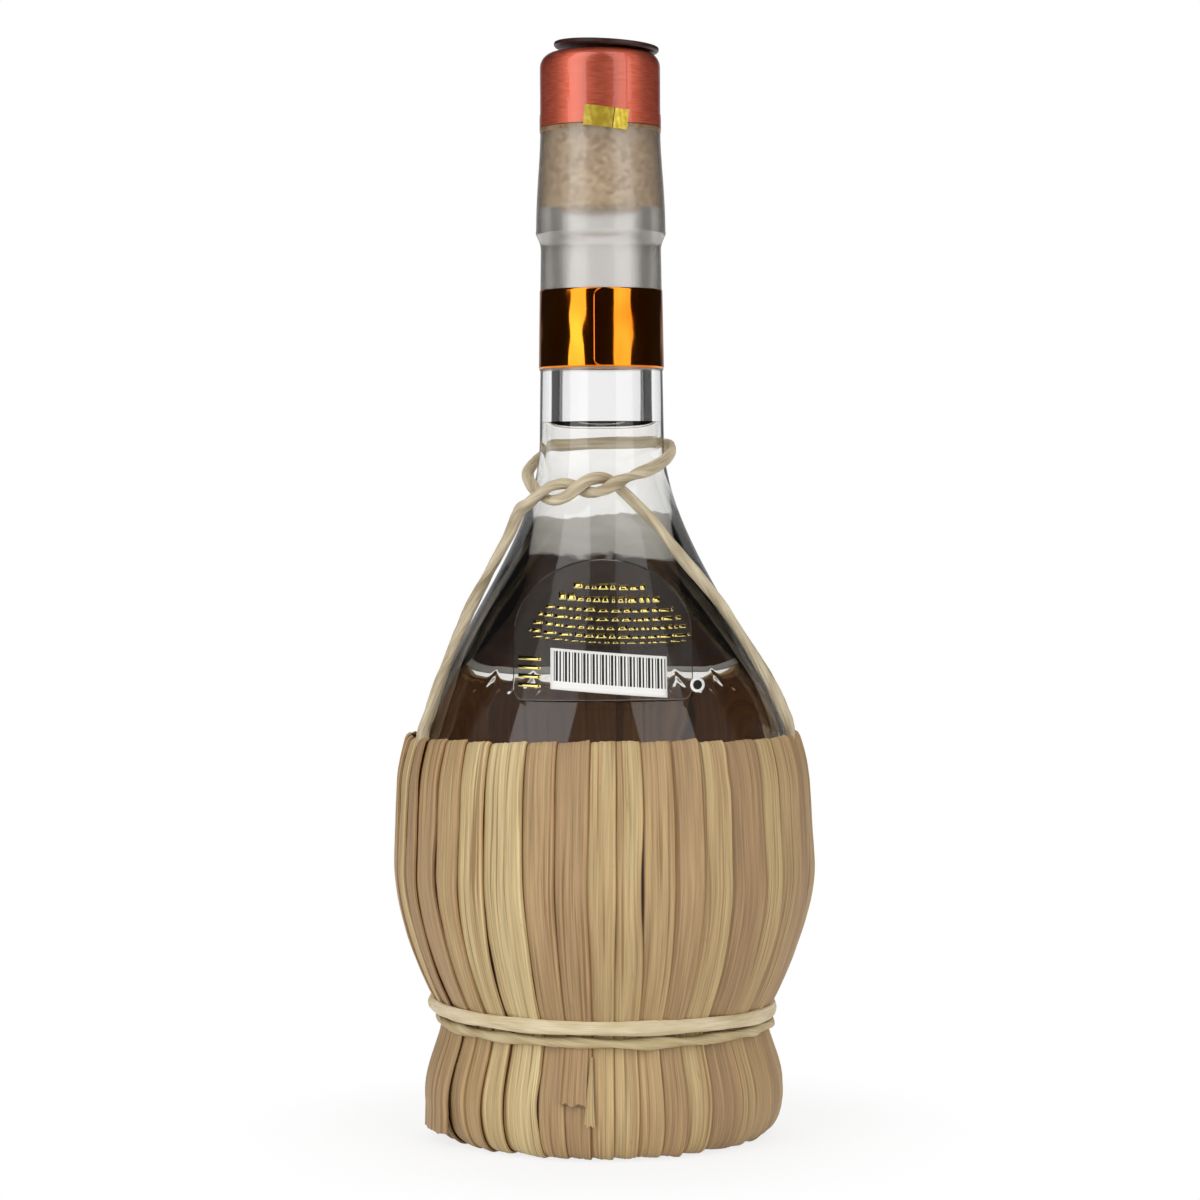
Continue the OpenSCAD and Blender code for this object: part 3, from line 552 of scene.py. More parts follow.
def torn_paper():
    """Uncoated paper printed dark brown and torn at its edge, where its grey core shows. border is the
    distance from the edge in millimetres."""
    tree, shader, new = material("torn_paper")
    border = add(tree, "Attribute", attribute_name="border").outputs["Fac"]
    place = add(tree, "TexCoord").outputs["Object"]
    pulp = add(tree, "TexNoise", {"Vector": place, "Scale": 240.0, "Detail": 5.0}).outputs[0]
    edge = add(tree, "Math", {0: pulp, 1: -3.0, 2: border}, operation="MULTIPLY_ADD").outputs[0]
    inner = add(tree, "MapRange", {"Value": edge, 1: 4.6, 2: 5.3}).outputs[0]
    grey = add(tree, "ValToRGB", {0: pulp}, stops=[
        (0.3, linear("#e2e1de")), (0.7, linear("#f8f7f5"))]).outputs[0]
    brown = add(tree, "ValToRGB", {0: pulp}, stops=[
        (0.3, linear("#361c0c")), (0.7, linear("#502e16"))]).outputs[0]
    colour = add(tree, "Mix", {0: inner, 6: grey, 7: brown}, data_type="RGBA").outputs[2]
    tree.links.new(colour, shader.inputs["Base Color"])
    bump = add(tree, "Bump", {"Height": pulp, "Strength": 0.4, "Distance": 0.0002})
    tree.links.new(bump.outputs[0], shader.inputs["Normal"])
    fill(shader, Roughness=0.75)
    return new


def label_film():
    """Clear polypropylene label film: it shows only by its edge and by faint waves in what it mirrors."""
    tree, shader, new = material("label_film")
    place = add(tree, "TexCoord").outputs["Object"]
    wave = add(tree, "TexNoise", {"Vector": place, "Scale": 90.0, "Detail": 1.0})
    bump = add(tree, "Bump", {"Height": wave.outputs[0], "Strength": 0.08, "Distance": 0.001})
    tree.links.new(bump.outputs[0], shader.inputs["Normal"])
    fill(shader, Base_Color=linear("#f8f8f6"), Roughness=0.0, IOR=1.3, Transmission_Weight=1.0)
    let_light_through(tree, shader, "#fbfbfa")
    return new


def gold_foil():
    """Hot-stamped gold foil: bright where it reflects a lamp and dark elsewhere."""
    tree, shader, new = material("gold_foil")
    place = add(tree, "TexCoord").outputs["Object"]
    cloud = add(tree, "TexNoise", {"Vector": place, "Scale": 500.0, "Detail": 2.0}).outputs[0]
    rough = add(tree, "MapRange", {"Value": cloud, 3: 0.07, 4: 0.16}).outputs[0]
    tree.links.new(rough, shader.inputs["Roughness"])
    fill(shader, Base_Color=linear("#d8c478"), Metallic=1.0)
    return new


def printing_ink(name, code):
    """Printing ink on film: flat, with the faint mottle of a dried coat."""
    tree, shader, new = material(name)
    place = add(tree, "TexCoord").outputs["Object"]
    mottle = add(tree, "TexNoise", {"Vector": place, "Scale": 1200.0, "Detail": 2.0}).outputs[0]
    rough = add(tree, "MapRange", {"Value": mottle, 3: 0.4, 4: 0.6}).outputs[0]
    tree.links.new(rough, shader.inputs["Roughness"])
    fill(shader, Base_Color=linear(code))
    return new


GLASS = flint_glass()
SPIRIT = grape_spirit()
LEAF = dried_leaf()
WAIST_RAFFIA = raffia("waist_raffia", "#e8d8b8", "#c6b288")
NECK_RAFFIA = raffia("neck_raffia", "#dccdb0", "#9a8a6c")
FILM = shrink_film()
CROWN = crown_film()
RED = red_aluminium()
FOIL = metallised_film()
BONDED_TAPE = tear_tape("bonded_tape", "#a68c26", "#ccb440")
TAPE = tear_tape("tear_tape", "#c4a62c", "#f2d850")
DISC = dark_disc()
POLYTHENE = moulded_polythene()
CORK = agglomerated_cork()
PAPER = torn_paper()
CLEAR = label_film()
GOLD = gold_foil()
WHITE_INK = printing_ink("white_ink", "#eceae6")
BLACK_INK = printing_ink("black_ink", "#17150f")


def dress(piece, finish, body="bottle", nodes=()):
    """Gives a piece its material and its body, and hides the nodes that it stands for."""
    piece.data.materials.clear()
    piece.data.materials.append(finish)
    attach(piece, body)
    if nodes:
        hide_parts(*nodes)
    return piece


# Glass and its fill

def marks(a, z):
    """Height of the raised marks of the mould on the shoulder: plain lozenges and dots in a row."""
    height = 0
    r = 40.6
    for centre, width in ((-0.86, 0), (-0.72, 2.4), (-0.58, 0), (-0.44, 2.4), (0.46, 2.4), (0.60, 0), (0.74, 2.4), (0.88, 0)):
        x = (a - 1.5 * np.pi - centre) * r
        y = z - 107.6
        if width:
            distance = 0.75 * np.abs(np.abs(x) + 0.8 * np.abs(y) - width)
        else:
            distance = np.maximum(np.hypot(x, y) - 0.5, 0)
        height = np.maximum(height, 0.1 * np.exp(-(distance / 0.5) ** 2))
    return height


def glass_mesh():
    """Bottle glass: the outer profile, the punt and the inner profile turned about the axis as one closed
    skin. The columns lie closer where the raised marks are. The inner side is uneven by a slow noise."""
    inner_shoulder = cubic((BORE_R, SHOULDER_Z - 2), (BORE_R, SHOULDER_Z - NECK_SWEEP - 1),
                           (BELLY_R - WALL, BELLY_TOP_Z + BELLY_SWEEP - 1), (BELLY_R - WALL, BELLY_TOP_Z), 60)
    inner_lower = cubic((BELLY_R - WALL, BELLY_FOOT_Z), (BELLY_R - WALL, BELLY_FOOT_Z - BELLY_DROP),
                        (HEEL_R + HEEL_REACH - WALL, HEEL_Z + BOTTOM_T), (PUNT_R, HEEL_Z + BOTTOM_T), 36)
    inner_punt = cubic((PUNT_R, HEEL_Z + BOTTOM_T), (0.7 * PUNT_R, HEEL_Z + BOTTOM_T),
                       (0.45 * PUNT_R, HEEL_Z + PUNT_H + BOTTOM_T), (0, HEEL_Z + PUNT_H + BOTTOM_T), 12)
    outer_punt = cubic((0, HEEL_Z + PUNT_H), (0.45 * PUNT_R, HEEL_Z + PUNT_H), (0.7 * PUNT_R, HEEL_Z),
                       (PUNT_R, HEEL_Z), 12)
    marks_z = np.arange(103.4, 112, 0.36)
    row = outside_row[::-1]
    fine = np.stack([np.interp(marks_z, row[:, 1], row[:, 0]), marks_z], 1)[::-1]
    keep = (outside_row[:, 1] > marks_z[-1] + 0.2) | (outside_row[:, 1] < marks_z[0] - 0.2)
    upper = outside_row[keep & (outside_row[:, 1] > 108)]
    lower = outside_row[keep & (outside_row[:, 1] < 108)]
    neck_wall = np.stack([np.linspace(NECK_R, NECK_FOOT_R, 12)[1:-1], np.linspace(COLLAR_FOOT_Z, SHOULDER_Z, 12)[1:-1]], 1)
    split = len(lip_row) + len(collar_row)
    upper = np.concatenate([upper[:split], neck_wall, upper[split:]])
    chamfer = np.array([(BORE_R + 0.6, MOUTH_Z), (BORE_R, MOUTH_Z - 0.6)])
    bore = np.stack([np.full(12, BORE_R), np.linspace(MOUTH_Z - 0.6, SHOULDER_Z - 2, 14)[1:-1]], 1)
    inner = np.concatenate([chamfer, bore, inner_shoulder, inner_lower, inner_punt[1:]])[::-1]
    profile = np.concatenate([upper, fine, lower, outer_punt[::-1], inner])
    profile = np.concatenate([profile, profile[:1]])
    middle = 1.5 * np.pi
    angles = np.concatenate([np.linspace(-0.5 * np.pi + 0.0, middle - 1.02, 150, endpoint=False)[:, None],
                             np.linspace(middle - 1.02, middle - 0.3, 72, endpoint=False)[:, None],
                             np.linspace(middle - 0.3, middle + 0.3, 24, endpoint=False)[:, None],
                             np.linspace(middle + 0.3, middle + 1.02, 72, endpoint=False)[:, None]])[:, 0]
    angles = angles[angles < middle + 1.02]
    low = middle + 1.02 - TURN
    angles = np.concatenate([np.linspace(low, middle - 1.02, 150, endpoint=False), angles[angles >= middle - 1.02]])
    r, z = profile[:, 0, None], profile[:, 1, None]
    is_inner = (np.arange(len(profile)) >= len(profile) - 1 - len(inner))[:, None] & (np.arange(len(profile)) < len(profile) - 1)[:, None]
    uneven = 0.07 * smooth_noise(z / 11 + 2 * np.sin(angles), 3) + 0.06 * smooth_noise(3 * np.cos(angles) + z / 25, 4)
    fade = ease(0, 6, r) * (1 - ease(MOUTH_Z - 30, MOUTH_Z - 20, z))
    grown = r + np.where(is_inner, uneven * fade, np.where(abs(z - 107.6) < 4, marks(angles, z), 0))
    grid = np.stack([grown * np.cos(angles), grown * np.sin(angles), z + 0 * grown], -1)
    grid[-1] = grid[0]
    return surface("flint_bottle", grid, wrap=True, sharp=60)


dress(glass_mesh(), GLASS, nodes=["glass_bottle"])


def spirit_mesh():
    """Liquid: the inner profile of the glass grown by a tenth of a millimetre into its wall, closed by a
    level top whose edge climbs the wall by the meniscus."""
    over = 0.1
    shoulder = cubic((BORE_R, SHOULDER_Z - 2), (BORE_R, SHOULDER_Z - NECK_SWEEP - 1),
                     (BELLY_R - WALL, BELLY_TOP_Z + BELLY_SWEEP - 1), (BELLY_R - WALL, BELLY_TOP_Z), 60)
    lower = cubic((BELLY_R - WALL, BELLY_FOOT_Z), (BELLY_R - WALL, BELLY_FOOT_Z - BELLY_DROP),
                  (HEEL_R + HEEL_REACH - WALL, HEEL_Z + BOTTOM_T), (PUNT_R, HEEL_Z + BOTTOM_T), 36)
    punt = cubic((PUNT_R, HEEL_Z + BOTTOM_T), (0.7 * PUNT_R, HEEL_Z + BOTTOM_T),
                 (0.45 * PUNT_R, HEEL_Z + PUNT_H + BOTTOM_T), (0, HEEL_Z + PUNT_H + BOTTOM_T), 12)
    r = (BORE_R + over) * np.sqrt(np.linspace(0, 1, 24))
    top = np.stack([r, FILL_Z + MENISCUS * np.exp((r - r[-1]) / MENISCUS_REACH)], 1)
    side = np.concatenate([shoulder + (over, 0), lower + (over, -over / 2), punt[1:] - (0, over)])
    return revolve("spirit_fill", np.concatenate([top, side]), 160, sharp=70)


dress(spirit_mesh(), SPIRIT)


# Straw basket

def leaf_path(count):
    """Outer path of a leaf as (radius, height): in from under the base, round the skirt's corner, in to the
    tie, and up the belly to the curled rim, at even distances."""
    waist_r = basket_at(WAIST_Z)
    rim_r = basket_at(RIM_Z - 1.6 * RIM_CURL)
    corner = SKIRT_R - SKIRT_CORNER
    climb = np.linspace(WAIST_Z, RIM_Z - 2 * RIM_CURL, 60)[1:]
    curl = cubic((rim_r, RIM_Z - 2 * RIM_CURL), (rim_r, RIM_Z - RIM_CURL), (rim_r - 0.4 * RIM_CURL, RIM_Z - 0.2),
                 (rim_r - 1.3 * RIM_CURL, RIM_Z + 0.1), 6)[1:]
    return resample(np.concatenate([
        [(LEAF_END_R, LEAF_LIFT)],
        cubic((corner, LEAF_LIFT), (corner + 0.55 * SKIRT_CORNER, LEAF_LIFT),
              (SKIRT_R, SKIRT_Z - 0.6 * (SKIRT_Z - LEAF_LIFT)), (SKIRT_R, SKIRT_Z), 12),
        cubic((SKIRT_R, SKIRT_Z), (SKIRT_R, SKIRT_Z + 0.4 * (WAIST_Z - SKIRT_Z)),
              (waist_r, WAIST_Z - 0.3 * (WAIST_Z - SKIRT_Z)), (waist_r, WAIST_Z), 12)[1:],
        np.stack([basket_at(climb), climb], 1), curl]), count)


PATH_STEPS = 120
LEAF_COLUMNS = 34
leaf_row = leaf_path(PATH_STEPS)
leaf_s = along(leaf_row)
step = np.gradient(leaf_row, axis=0)
leaf_normal = np.stack([step[:, 1], -step[:, 0]], 1) / np.linalg.norm(step, axis=1, keepdims=True)
PITCH = 360 / LEAF_COUNT
# Colour of the leaves that the back shows, from 0, pink-brown, to 1, pale straw, and how far each is moved
LEAF_TONES = {1: 0.62, 2: 0.2, 3: 0.3, 4: 0.42, 5: 0.82, 6: 0.92, 7: 0.36, 8: 0.22, 9: 0.66, 10: 0.6, 11: 0.5,
              12: 0.3, 13: 0.62, 14: 0.16, 15: 0.55, 16: 0.4, 17: 0.2, 18: 0.42}
LEAF_MOVES = {6: 2.0, 7: 3.4, 8: 1.8, 11: -2.6, 12: -2.2, 13: -2.4, 17: 1.5}
# Crevices where a leaf's open edge draws back and the leaf under it is painted dark as shadow: leaf, lower and upper
# height, and width
CREVICES = [(3, 50, 78, 0.5), (10, 48, 80, 0.6), (13, 84, 93, 0.35), (6, 6, 20, 0.5), (5, 30, 60, 0.35)]


def leaf_edge(i):
    """Direction of a leaf's tucked edge along it, and how far its open edge wanders, both in degrees: the even
    start, a turn of 137.5 degrees a leaf and a lean, then a noise less the crevices' sines."""
    k = np.arange(PATH_STEPS)[:, None] / (PATH_STEPS - 1)
    start = LEAF_START + i * PITCH + math.sin(math.radians(137.5 * i)) + LEAF_MOVES.get(i, 0)
    edge_move = 0.28 * smooth_noise(leaf_s[:, None] / 17, 200 + i, 2)
    for leaf, low, high, size in CREVICES:
        if leaf == i:
            t = np.clip((leaf_row[:, 1][:, None] - low) / (high - low), 0, 1)
            edge_move = edge_move - np.degrees(size / 47) * np.sin(np.pi * t) ** 1.5
    return start + math.sin(math.radians(97 * i)) * (k - 0.5), edge_move


def leaf_mesh(i):
    """One straw leaf: at share u of its width and distance s along it, the point lies on the basket's path,
    lowered along the path's normal by the climb times 1 - u, at the leaf's own angle plus u times its width.
    A crown, ribs, a fold and a curled open edge are added to the height, and both ends are a little ragged.
    share is 0.4 where the next leaf's open edge lies on this one, so that painted shade can be put under it, and 0.2 on
    the inner side, which is painted as shade. A third attribute paints shadow into the crevices where that edge draws
    back."""
    rng = np.random.default_rng(100 + i)
    u = np.linspace(0, 1, LEAF_COLUMNS)[None, :]
    k = np.arange(PATH_STEPS)[:, None] / (PATH_STEPS - 1)
    s = leaf_s[:, None]
    z = leaf_row[:, 1][:, None]
    width = LEAF_LAP * PITCH
    start, edge_move = leaf_edge(i)
    over_start, over_move = leaf_edge(i - 1)
    lap = 1 - (start - over_start - over_move) / width
    # Painted shadow on this leaf where the neighbouring leaf's open edge draws back and opens a crevice.
    crevice_shade = np.zeros((PATH_STEPS, LEAF_COLUMNS))
    for leaf, low, high, size in CREVICES:
        if leaf == i - 1:
            t = np.clip((z - low) / (high - low), 0, 1)
            open_by = np.degrees(size / 47) * np.sin(np.pi * t) ** 1.5 / width
            crevice_shade = np.maximum(crevice_shade, 1 - ease(0, 0.012, u - lap - open_by))
            crevice_shade = crevice_shade * ease(0.05, 0.3, np.sin(np.pi * t))
    angle = np.radians(start + u * width + edge_move * u ** 3)
    height = rng.uniform(0.1, 0.22) * 4 * u * (1 - u) - THIN_CLIMB * (1 - u)
    for _ in range(3):
        place, size, spread = rng.uniform(0.42, 0.97), rng.uniform(-0.14, 0.12), rng.uniform(0.015, 0.05)
        line = place + 0.02 * smooth_noise(s / 23, rng.integers(1e6), 2)
        height = height + size * np.exp(-((u - line) / spread) ** 2)
    height = height + 0.035 * smooth_noise(u * 42 + 0.4 * smooth_noise(s / 30, 300 + i), 400 + i)
    curl = 0.22 * smooth_noise(s / 14, 500 + i, 2) + rng.uniform(-0.1, 0.15)
    height = height + curl * ease(0.78, 1.0, u) + 0.05 * smooth_noise(s / 5 + 3 * u, 600 + i)
    height = height - 0.18 * ease(0.965, 1.0, u) - 0.1 * (1 - ease(0, 0.04, u))
    tip = ease(0.965, 1.0, k)
    ragged = (rng.uniform(-0.2, 0.15) + rng.uniform(-0.3, 0.3) * (u - 0.5) + 0.07 * smooth_noise(u * 30, 700 + i)) * tip
    at_back = np.maximum(-np.sin(angle), 0) ** 2
    ragged = ragged + RIM_RISE * at_back * ease(RIM_Z - 14, RIM_Z, z)
    top_r = leaf_row[:, 0][:, None] + leaf_normal[:, 0][:, None] * height
    top_z = leaf_row[:, 1][:, None] + leaf_normal[:, 1][:, None] * height + ragged
    under_u = np.linspace(1, 0, 7)[None, :]
    pick = np.round((1 - np.linspace(0, 1, 7)) * (LEAF_COLUMNS - 1)).astype(int)
    under = height[:, pick] - THIN_T
    under_r = leaf_row[:, 0][:, None] + leaf_normal[:, 0][:, None] * under
    under_z = leaf_row[:, 1][:, None] + leaf_normal[:, 1][:, None] * under + ragged[:, pick]
    r = np.concatenate([top_r, under_r], 1)
    zz = np.maximum(np.concatenate([top_z, under_z], 1), 0.02)
    a = np.concatenate([angle, angle[:, pick]], 1)
    grid = np.stack([r * np.cos(a), r * np.sin(a), zz], -1)
    across = (np.concatenate([u, under_u], 1) + 0 * r) * np.radians(width) * 47 / 10 + 3.7 * i
    across = np.concatenate([across, across[:, :1]], 1)
    uv = np.stack([across, np.broadcast_to(s / 10, across.shape) + 0.9 * i], -1)
    tone = LEAF_TONES.get(i, 0.15 + 0.75 * rng.random())
    share = np.where(u < lap, 0.4 * u / lap, 0.4 + 0.6 * (u - lap) / (1 - lap))
    # The inner side gets share 0.2, which the leaf's colour turns into painted shade.
    share = np.concatenate([share, 0.2 + 0 * under], 1)
    crevice_shade = np.concatenate([crevice_shade, crevice_shade[:, pick] * 0], 1)
    values = {"tone": tone, "share": share, "crevice_shade": crevice_shade}
    return surface(f"straw_leaf_{i:02d}", grid, wrap=True, ends=True, uv=uv, values=values, sharp=62)


for i in range(1, LEAF_COUNT + 1):
    dress(leaf_mesh(i), LEAF, nodes=[f"leaf_{i:02d}"])


def loose_end(name, angle, width, top, bottom, stand, lean, taper, seed, tone):
    """Loose leaf end on the skirt: a strip hanging from under the tie, at the skirt's radius plus a stand-off
    that grows downwards, with its lower end cut ragged. Width narrows or grows by taper along it."""
    rows, cols = 40, 16
    t = np.linspace(0, 1, rows)[:, None]
    u = np.linspace(0, 1, cols)[None, :]
    rng = np.random.default_rng(seed)
    cut = 0.5 * smooth_noise(u * 9, seed) + rng.uniform(-0.6, 0.6) * (u - 0.5)
    z = top + (bottom - top) * t + cut * ease(0.8, 1, t)
    row = leaf_row[leaf_row[:, 1] < 40]
    base = np.interp(z, row[5:, 1], row[5:, 0])
    base = np.where(z < SKIRT_Z, np.maximum(base, SKIRT_R - 0.2), base)
    out = base + 0.35 + stand * t ** 1.5 + 0.15 * np.sin(np.pi * u) + 0.06 * smooth_noise(u * 14, seed + 1)
    size = width * (1 + (taper - 1) * t)
    a = np.radians(angle + lean * t + (u - 0.5) * size)
    under = slice(None, None, -3)
    r = np.concatenate([out, (out - 0.3)[:, under]], 1)
    a = np.concatenate([a, a[:, under]], 1)
    z = np.concatenate([z, z[:, under]], 1)
    grid = np.stack([r * np.cos(a), r * np.sin(a), z], -1)
    # share from 0.5 to 0.95 across the strip: the leaf's colour puts a faint painted highlight near its right edge.
    share = np.concatenate([0.5 + 0.45 * u, 0.5 + 0.45 * u[:, under]], 1) + 0 * r
    across = np.concatenate([share, share[:, :1]], 1) * 1.6 + seed
    uv = np.stack([across, np.broadcast_to(t * (top - bottom) / 10, across.shape)], -1)
    return surface(name, grid, wrap=True, ends=True, uv=uv, values={"tone": tone, "share": share, "crevice_shade": 0.0}, sharp=62)


for spec in (("loose_end_1", 260.0, 8.8, 27.5, 13.6, 0.5, 0.0, 0.96, 11, 0.22),
             ("loose_end_2", 265.6, 0.8, 24.0, 8.8, 0.5, -0.4, 4.2, 12, 0.7),
             ("loose_end_3", 199.4, 25.0, 27.5, 2.9, 0.6, 0.0, 0.98, 13, 0.22)):
    dress(loose_end(*spec), LEAF)


def base_straw():
    """Straw pad under the heel: the base ring's profile turned about the axis, with the coils of a straw rope
    as ripples across it."""
    ring_low, ring_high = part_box("base_ring")
    top = ring_high.z / MM
    profile = np.concatenate([
        cubic((12.5, 0), (18, 0), (24, 0), (LEAF_END_R - STRAW_GAP, 0), 30),
        cubic((LEAF_END_R - STRAW_GAP, 0), (LEAF_END_R - STRAW_GAP, 2.5), (34, 2.45), (37, 2.5), 6)[1:],
        cubic((37, 2.5), (39, 2.6), (40.2, 6), (40.2, SKIRT_Z), 8)[1:],
        cubic((40.2, SKIRT_Z), (40.1, 15), (39.2, 17), (38.4, top), 6)[1:],
        [(30.2, top)]])
    cradle = lower_row[(lower_row[:, 1] < top - 0.4)]
    cradle = cradle + (0.25, -0.3)
    inner = np.array([(12.5, HEEL_Z - 0.3)])
    loop = np.concatenate([profile, cradle, inner])
    return revolve("base_straw", loop, 160, sharp=45)


base = dress(base_straw(), LEAF, nodes=["base_ring"])
for key, value in (("tone", 0.45), ("share", 0.7), ("crevice_shade", 0.0)):
    layer = base.data.attributes.new(key, "FLOAT", "POINT")
    layer.data.foreach_set("value", np.full(len(base.data.vertices), value, np.float32))
uv_layer = base.data.uv_layers["UVMap"].data
uv_flat = np.zeros(len(uv_layer) * 2, np.float32)
uv_layer.foreach_get("uv", uv_flat)
uv_pair = uv_flat.reshape(-1, 2)[:, ::-1] * (10, 20)
uv_layer.foreach_set("uv", uv_pair.astype(np.float32).ravel())


# Cords

def tie_at(z):
    """Radius at which the round cord at height z just clears the leaves, as in the part's source."""
    row = leaf_row[leaf_row[:, 1] >= SKIRT_Z]
    shares = np.linspace(-1, 1, 9)[None, :]
    reach = np.interp(z[:, None] + shares * WAIST_CORD_R, row[:, 1], row[:, 0])
    return TIE_GAP + (reach + WAIST_CORD_R * np.sqrt(1 - shares ** 2)).max(1)


def waist_tie():
    """Waist cord: two turns of raffia from the back, the upper one a flat ribbon and the lower one twisted."""
    t = np.linspace(0, WAIST_TURNS, 560)
    z = WAIST_Z + WAIST_TURNS * WAIST_PITCH / 2 - WAIST_PITCH * t
    a = np.radians(90 + 360 * t)
    drawn_in = 0.75
    r = tie_at(z) - drawn_in
    route = np.stack([r * np.cos(a), r * np.sin(a), z + 0.25 * smooth_noise(9 * t, 31, 2)], 1)
    lower = ease(0.93, 1.02, t)
    s = along(route)
    turn = lower * (s - s[0]) * TURN / 34 + 0.25 * smooth_noise(s / 14, 32)
    thick = 0.85 + 0.15 * lower
    wide = 1.62 - 0.28 * lower + 0.12 * smooth_noise(s / 8, 33)
    return ribbon("waist_tie", route, thick, wide, turn, 40, sides=40, shade=lower)


dress(waist_tie(), WAIST_RAFFIA, nodes=["waist_cord"])

# Route of the neck cord: up the left, through the twist, round the neck, through it again and down. Each
# point is its direction in degrees, the cord's gap from the glass there, and its height, as in the source.
NECK_ROUTE = [
    (202.5, 0.5, 96.6), (202.3, 0.4, 101), (199.7, 0.4, 107.8), (194, 0.5, 117), (192, 1.2, 127),
    (197, 1.7, 136), (203, 2, 142.6), (209.5, 2.8, 148.4), (219.9, 3.2, 150.6), (227.2, 3.4, 152.4),
    (233.5, 3.1, 154.1), (238.7, 1.9, 154.8), (244.6, 0.7, 154.8), (251.7, 0.2, 153.9), (259.3, 0.6, 153),
    (266.6, 1.9, 152.9), (272.7, 3.1, 153.6), (279, 3.4, 155), (292.3, 2.8, 156.8), (312.4, 1.5, 158.7),
    (338.8, 0.8, 161.6), (6.2, 0.5, 163.6), (37.1, 0.2, 164.3), (66.5, 0.2, 164.5), (95.5, 0.2, 164.2),
    (124.5, 0.3, 163.2), (150, 0.2, 161.6), (172, 0.4, 159), (190, 0.7, 156.6), (205, 0.5, 154.5),
    (217.1, 0.2, 152.5), (229, 0.3, 151.2), (239.9, 1.6, 151.2), (248.3, 2.9, 152.2), (254.5, 3.5, 154),
    (260.1, 3.1, 155.5), (266.4, 1.8, 156.1), (273.2, 0.5, 155.9), (280.3, 0.2, 154.7), (285.7, 0.2, 152.9),
    (292.3, 0.3, 150.7), (305.7, 0.5, 145.4), (316.8, 0.6, 138.2), (331.5, 0.7, 127.6), (339.5, 0.5, 117),
    (343.9, 0.4, 107.8), (344.4, 0.4, 102), (343.6, 0.6, 96.6)]
# Where its flattened ends are tucked between the glass and the leaves
NECK_TUCKS = [(202.5, -0.9, 91.5), (343.6, -0.8, 91.5)]


def neck_tie():
    """Neck cord: raffia along its route, twisted once in 30 mm on its legs, lying flat round the neck and
    pressed thin where its ends are tucked in."""
    rows = np.array(NECK_TUCKS[:1] + NECK_ROUTE + NECK_TUCKS[1:], float)
    a, gap, z = np.radians(rows[:, 0]), rows[:, 1], rows[:, 2]
    r = glass_at(z) + NECK_CORD_R + gap
    route = through(np.stack([r * np.cos(a), r * np.sin(a), z], 1), 14)
    s = along(route)
    middle = np.abs(s - s[-1] * 0.48) / s[-1]
    flat = 1 - ease(0.1, 0.2, middle)
    turn = (1 - flat) * (s - s[-1] / 2) * TURN / 60 + 0.3 * smooth_noise(s / 13, 51)
    tuck = ease(3, 8, np.minimum(s, s[-1] - s))
    thick = (1.18 - 0.3 * flat + 0.06 * smooth_noise(s / 6, 52)) * (0.35 + 0.65 * tuck)
    wide = 1.5 + 0.2 * flat + 0.1 * smooth_noise(s / 7, 53)
    return ribbon("neck_tie", route, thick, wide, turn, 60, sides=40)


dress(neck_tie(), NECK_RAFFIA, nodes=["neck_cord"])


# Capsule: film, band and tear tab

def film_mesh():
    """Shrink film on the neck and collar: a thin tube on the glass's profile, its radius rippled by a noise
    that runs mostly round the neck."""
    z = np.linspace(FILM_FOOT_Z, SLEEVE_TOP_Z, 150)
    inner = np.stack([glass_at(z) + FILM_GAP, z], 1)
    outer = np.stack([glass_at(z) + FILM_GAP + FILM_T, z], 1)[::-1]

    def ripple(r, z, a):
        near_step = np.exp(-((z - 213) / 3.5) ** 2)
        fold = 0.16 * np.exp(-((z - 214.7 - 0.2 * smooth_noise(3 * a, 72, 2)) / 0.45) ** 2)
        return (0.012 + 0.05 * near_step) * smooth_noise(7 * a, 71, 2) * (z > 203) + 0.02 * near_step + fold
    return revolve("neck_film", np.concatenate([inner, outer]), 160, sharp=40, bumps=ripple)


dress(film_mesh(), FILM, nodes=["capsule_sleeve"])


def band_mesh():
    """Metallised band: a strip wound once round the film and 24 degrees over itself; the overlap's upper layer
    has rounded corners."""
    z0 = FILM_FOOT_Z + BAND_UP
    under = 2 * FILM_GAP + FILM_T
    cols, rows = 220, 40
    v = np.linspace(0, 1, rows)[:, None]
    t = np.linspace(0, 1, cols)[None, :]
    sweep = 360 + 24
    a = np.radians(286.5 - sweep + sweep * t)
    lift = 0.14 * (1 - ease(14 / sweep, 30 / sweep, t)) + 0 * v
    corner = 2.2
    reach = np.radians(sweep) * 14.6 * t
    shrink = np.where(reach < corner, corner - np.sqrt(np.maximum(corner ** 2 - (corner - reach) ** 2, 0)), 0)
    z = z0 + shrink + (BAND_H - 2 * shrink) * v
    return wrapped("metal_band", a, z, under + lift, BAND_T, sharp=60)


dress(band_mesh(), FOIL, nodes=["neck_band"])


def head_row(grow, foot, count=10):
    """Outer profile of the head, grown by an amount, from a height up to where its top turns level."""
    a = np.linspace(0, np.pi / 2, count)
    corner = np.stack([HEAD_R - HEAD_CORNER + (HEAD_CORNER + grow) * np.cos(a),
                       HEAD_TOP_Z - HEAD_CORNER + (HEAD_CORNER + grow) * np.sin(a)], 1)
    side_z = np.linspace(foot, HEAD_TOP_Z - HEAD_CORNER, 14)[:-1]
    return np.concatenate([np.stack([np.full(len(side_z), HEAD_R + grow), side_z], 1), corner])


def seam(a, z):
    """Height of the film's seam and creases on the head: a thin upright ridge and two short slanting ones."""
    seam_a = 1.5 * np.pi + 0.42
    height = 0.16 * np.exp(-((a - seam_a) * 14.4 / 0.22) ** 2)
    for where, lean, low, high in ((0.12, 0.5, 242.5, 246.5), (0.3, -0.7, 243, 247), (0.36, 0.9, 243, 246)):
        x = (a - 1.5 * np.pi - where) * 14.4 - lean * (z - low)
        height = height + 0.12 * np.exp(-(x / 0.3) ** 2) * ease(low - 0.5, low + 0.5, z) * (1 - ease(high - 0.5, high + 0.5, z))
    return height


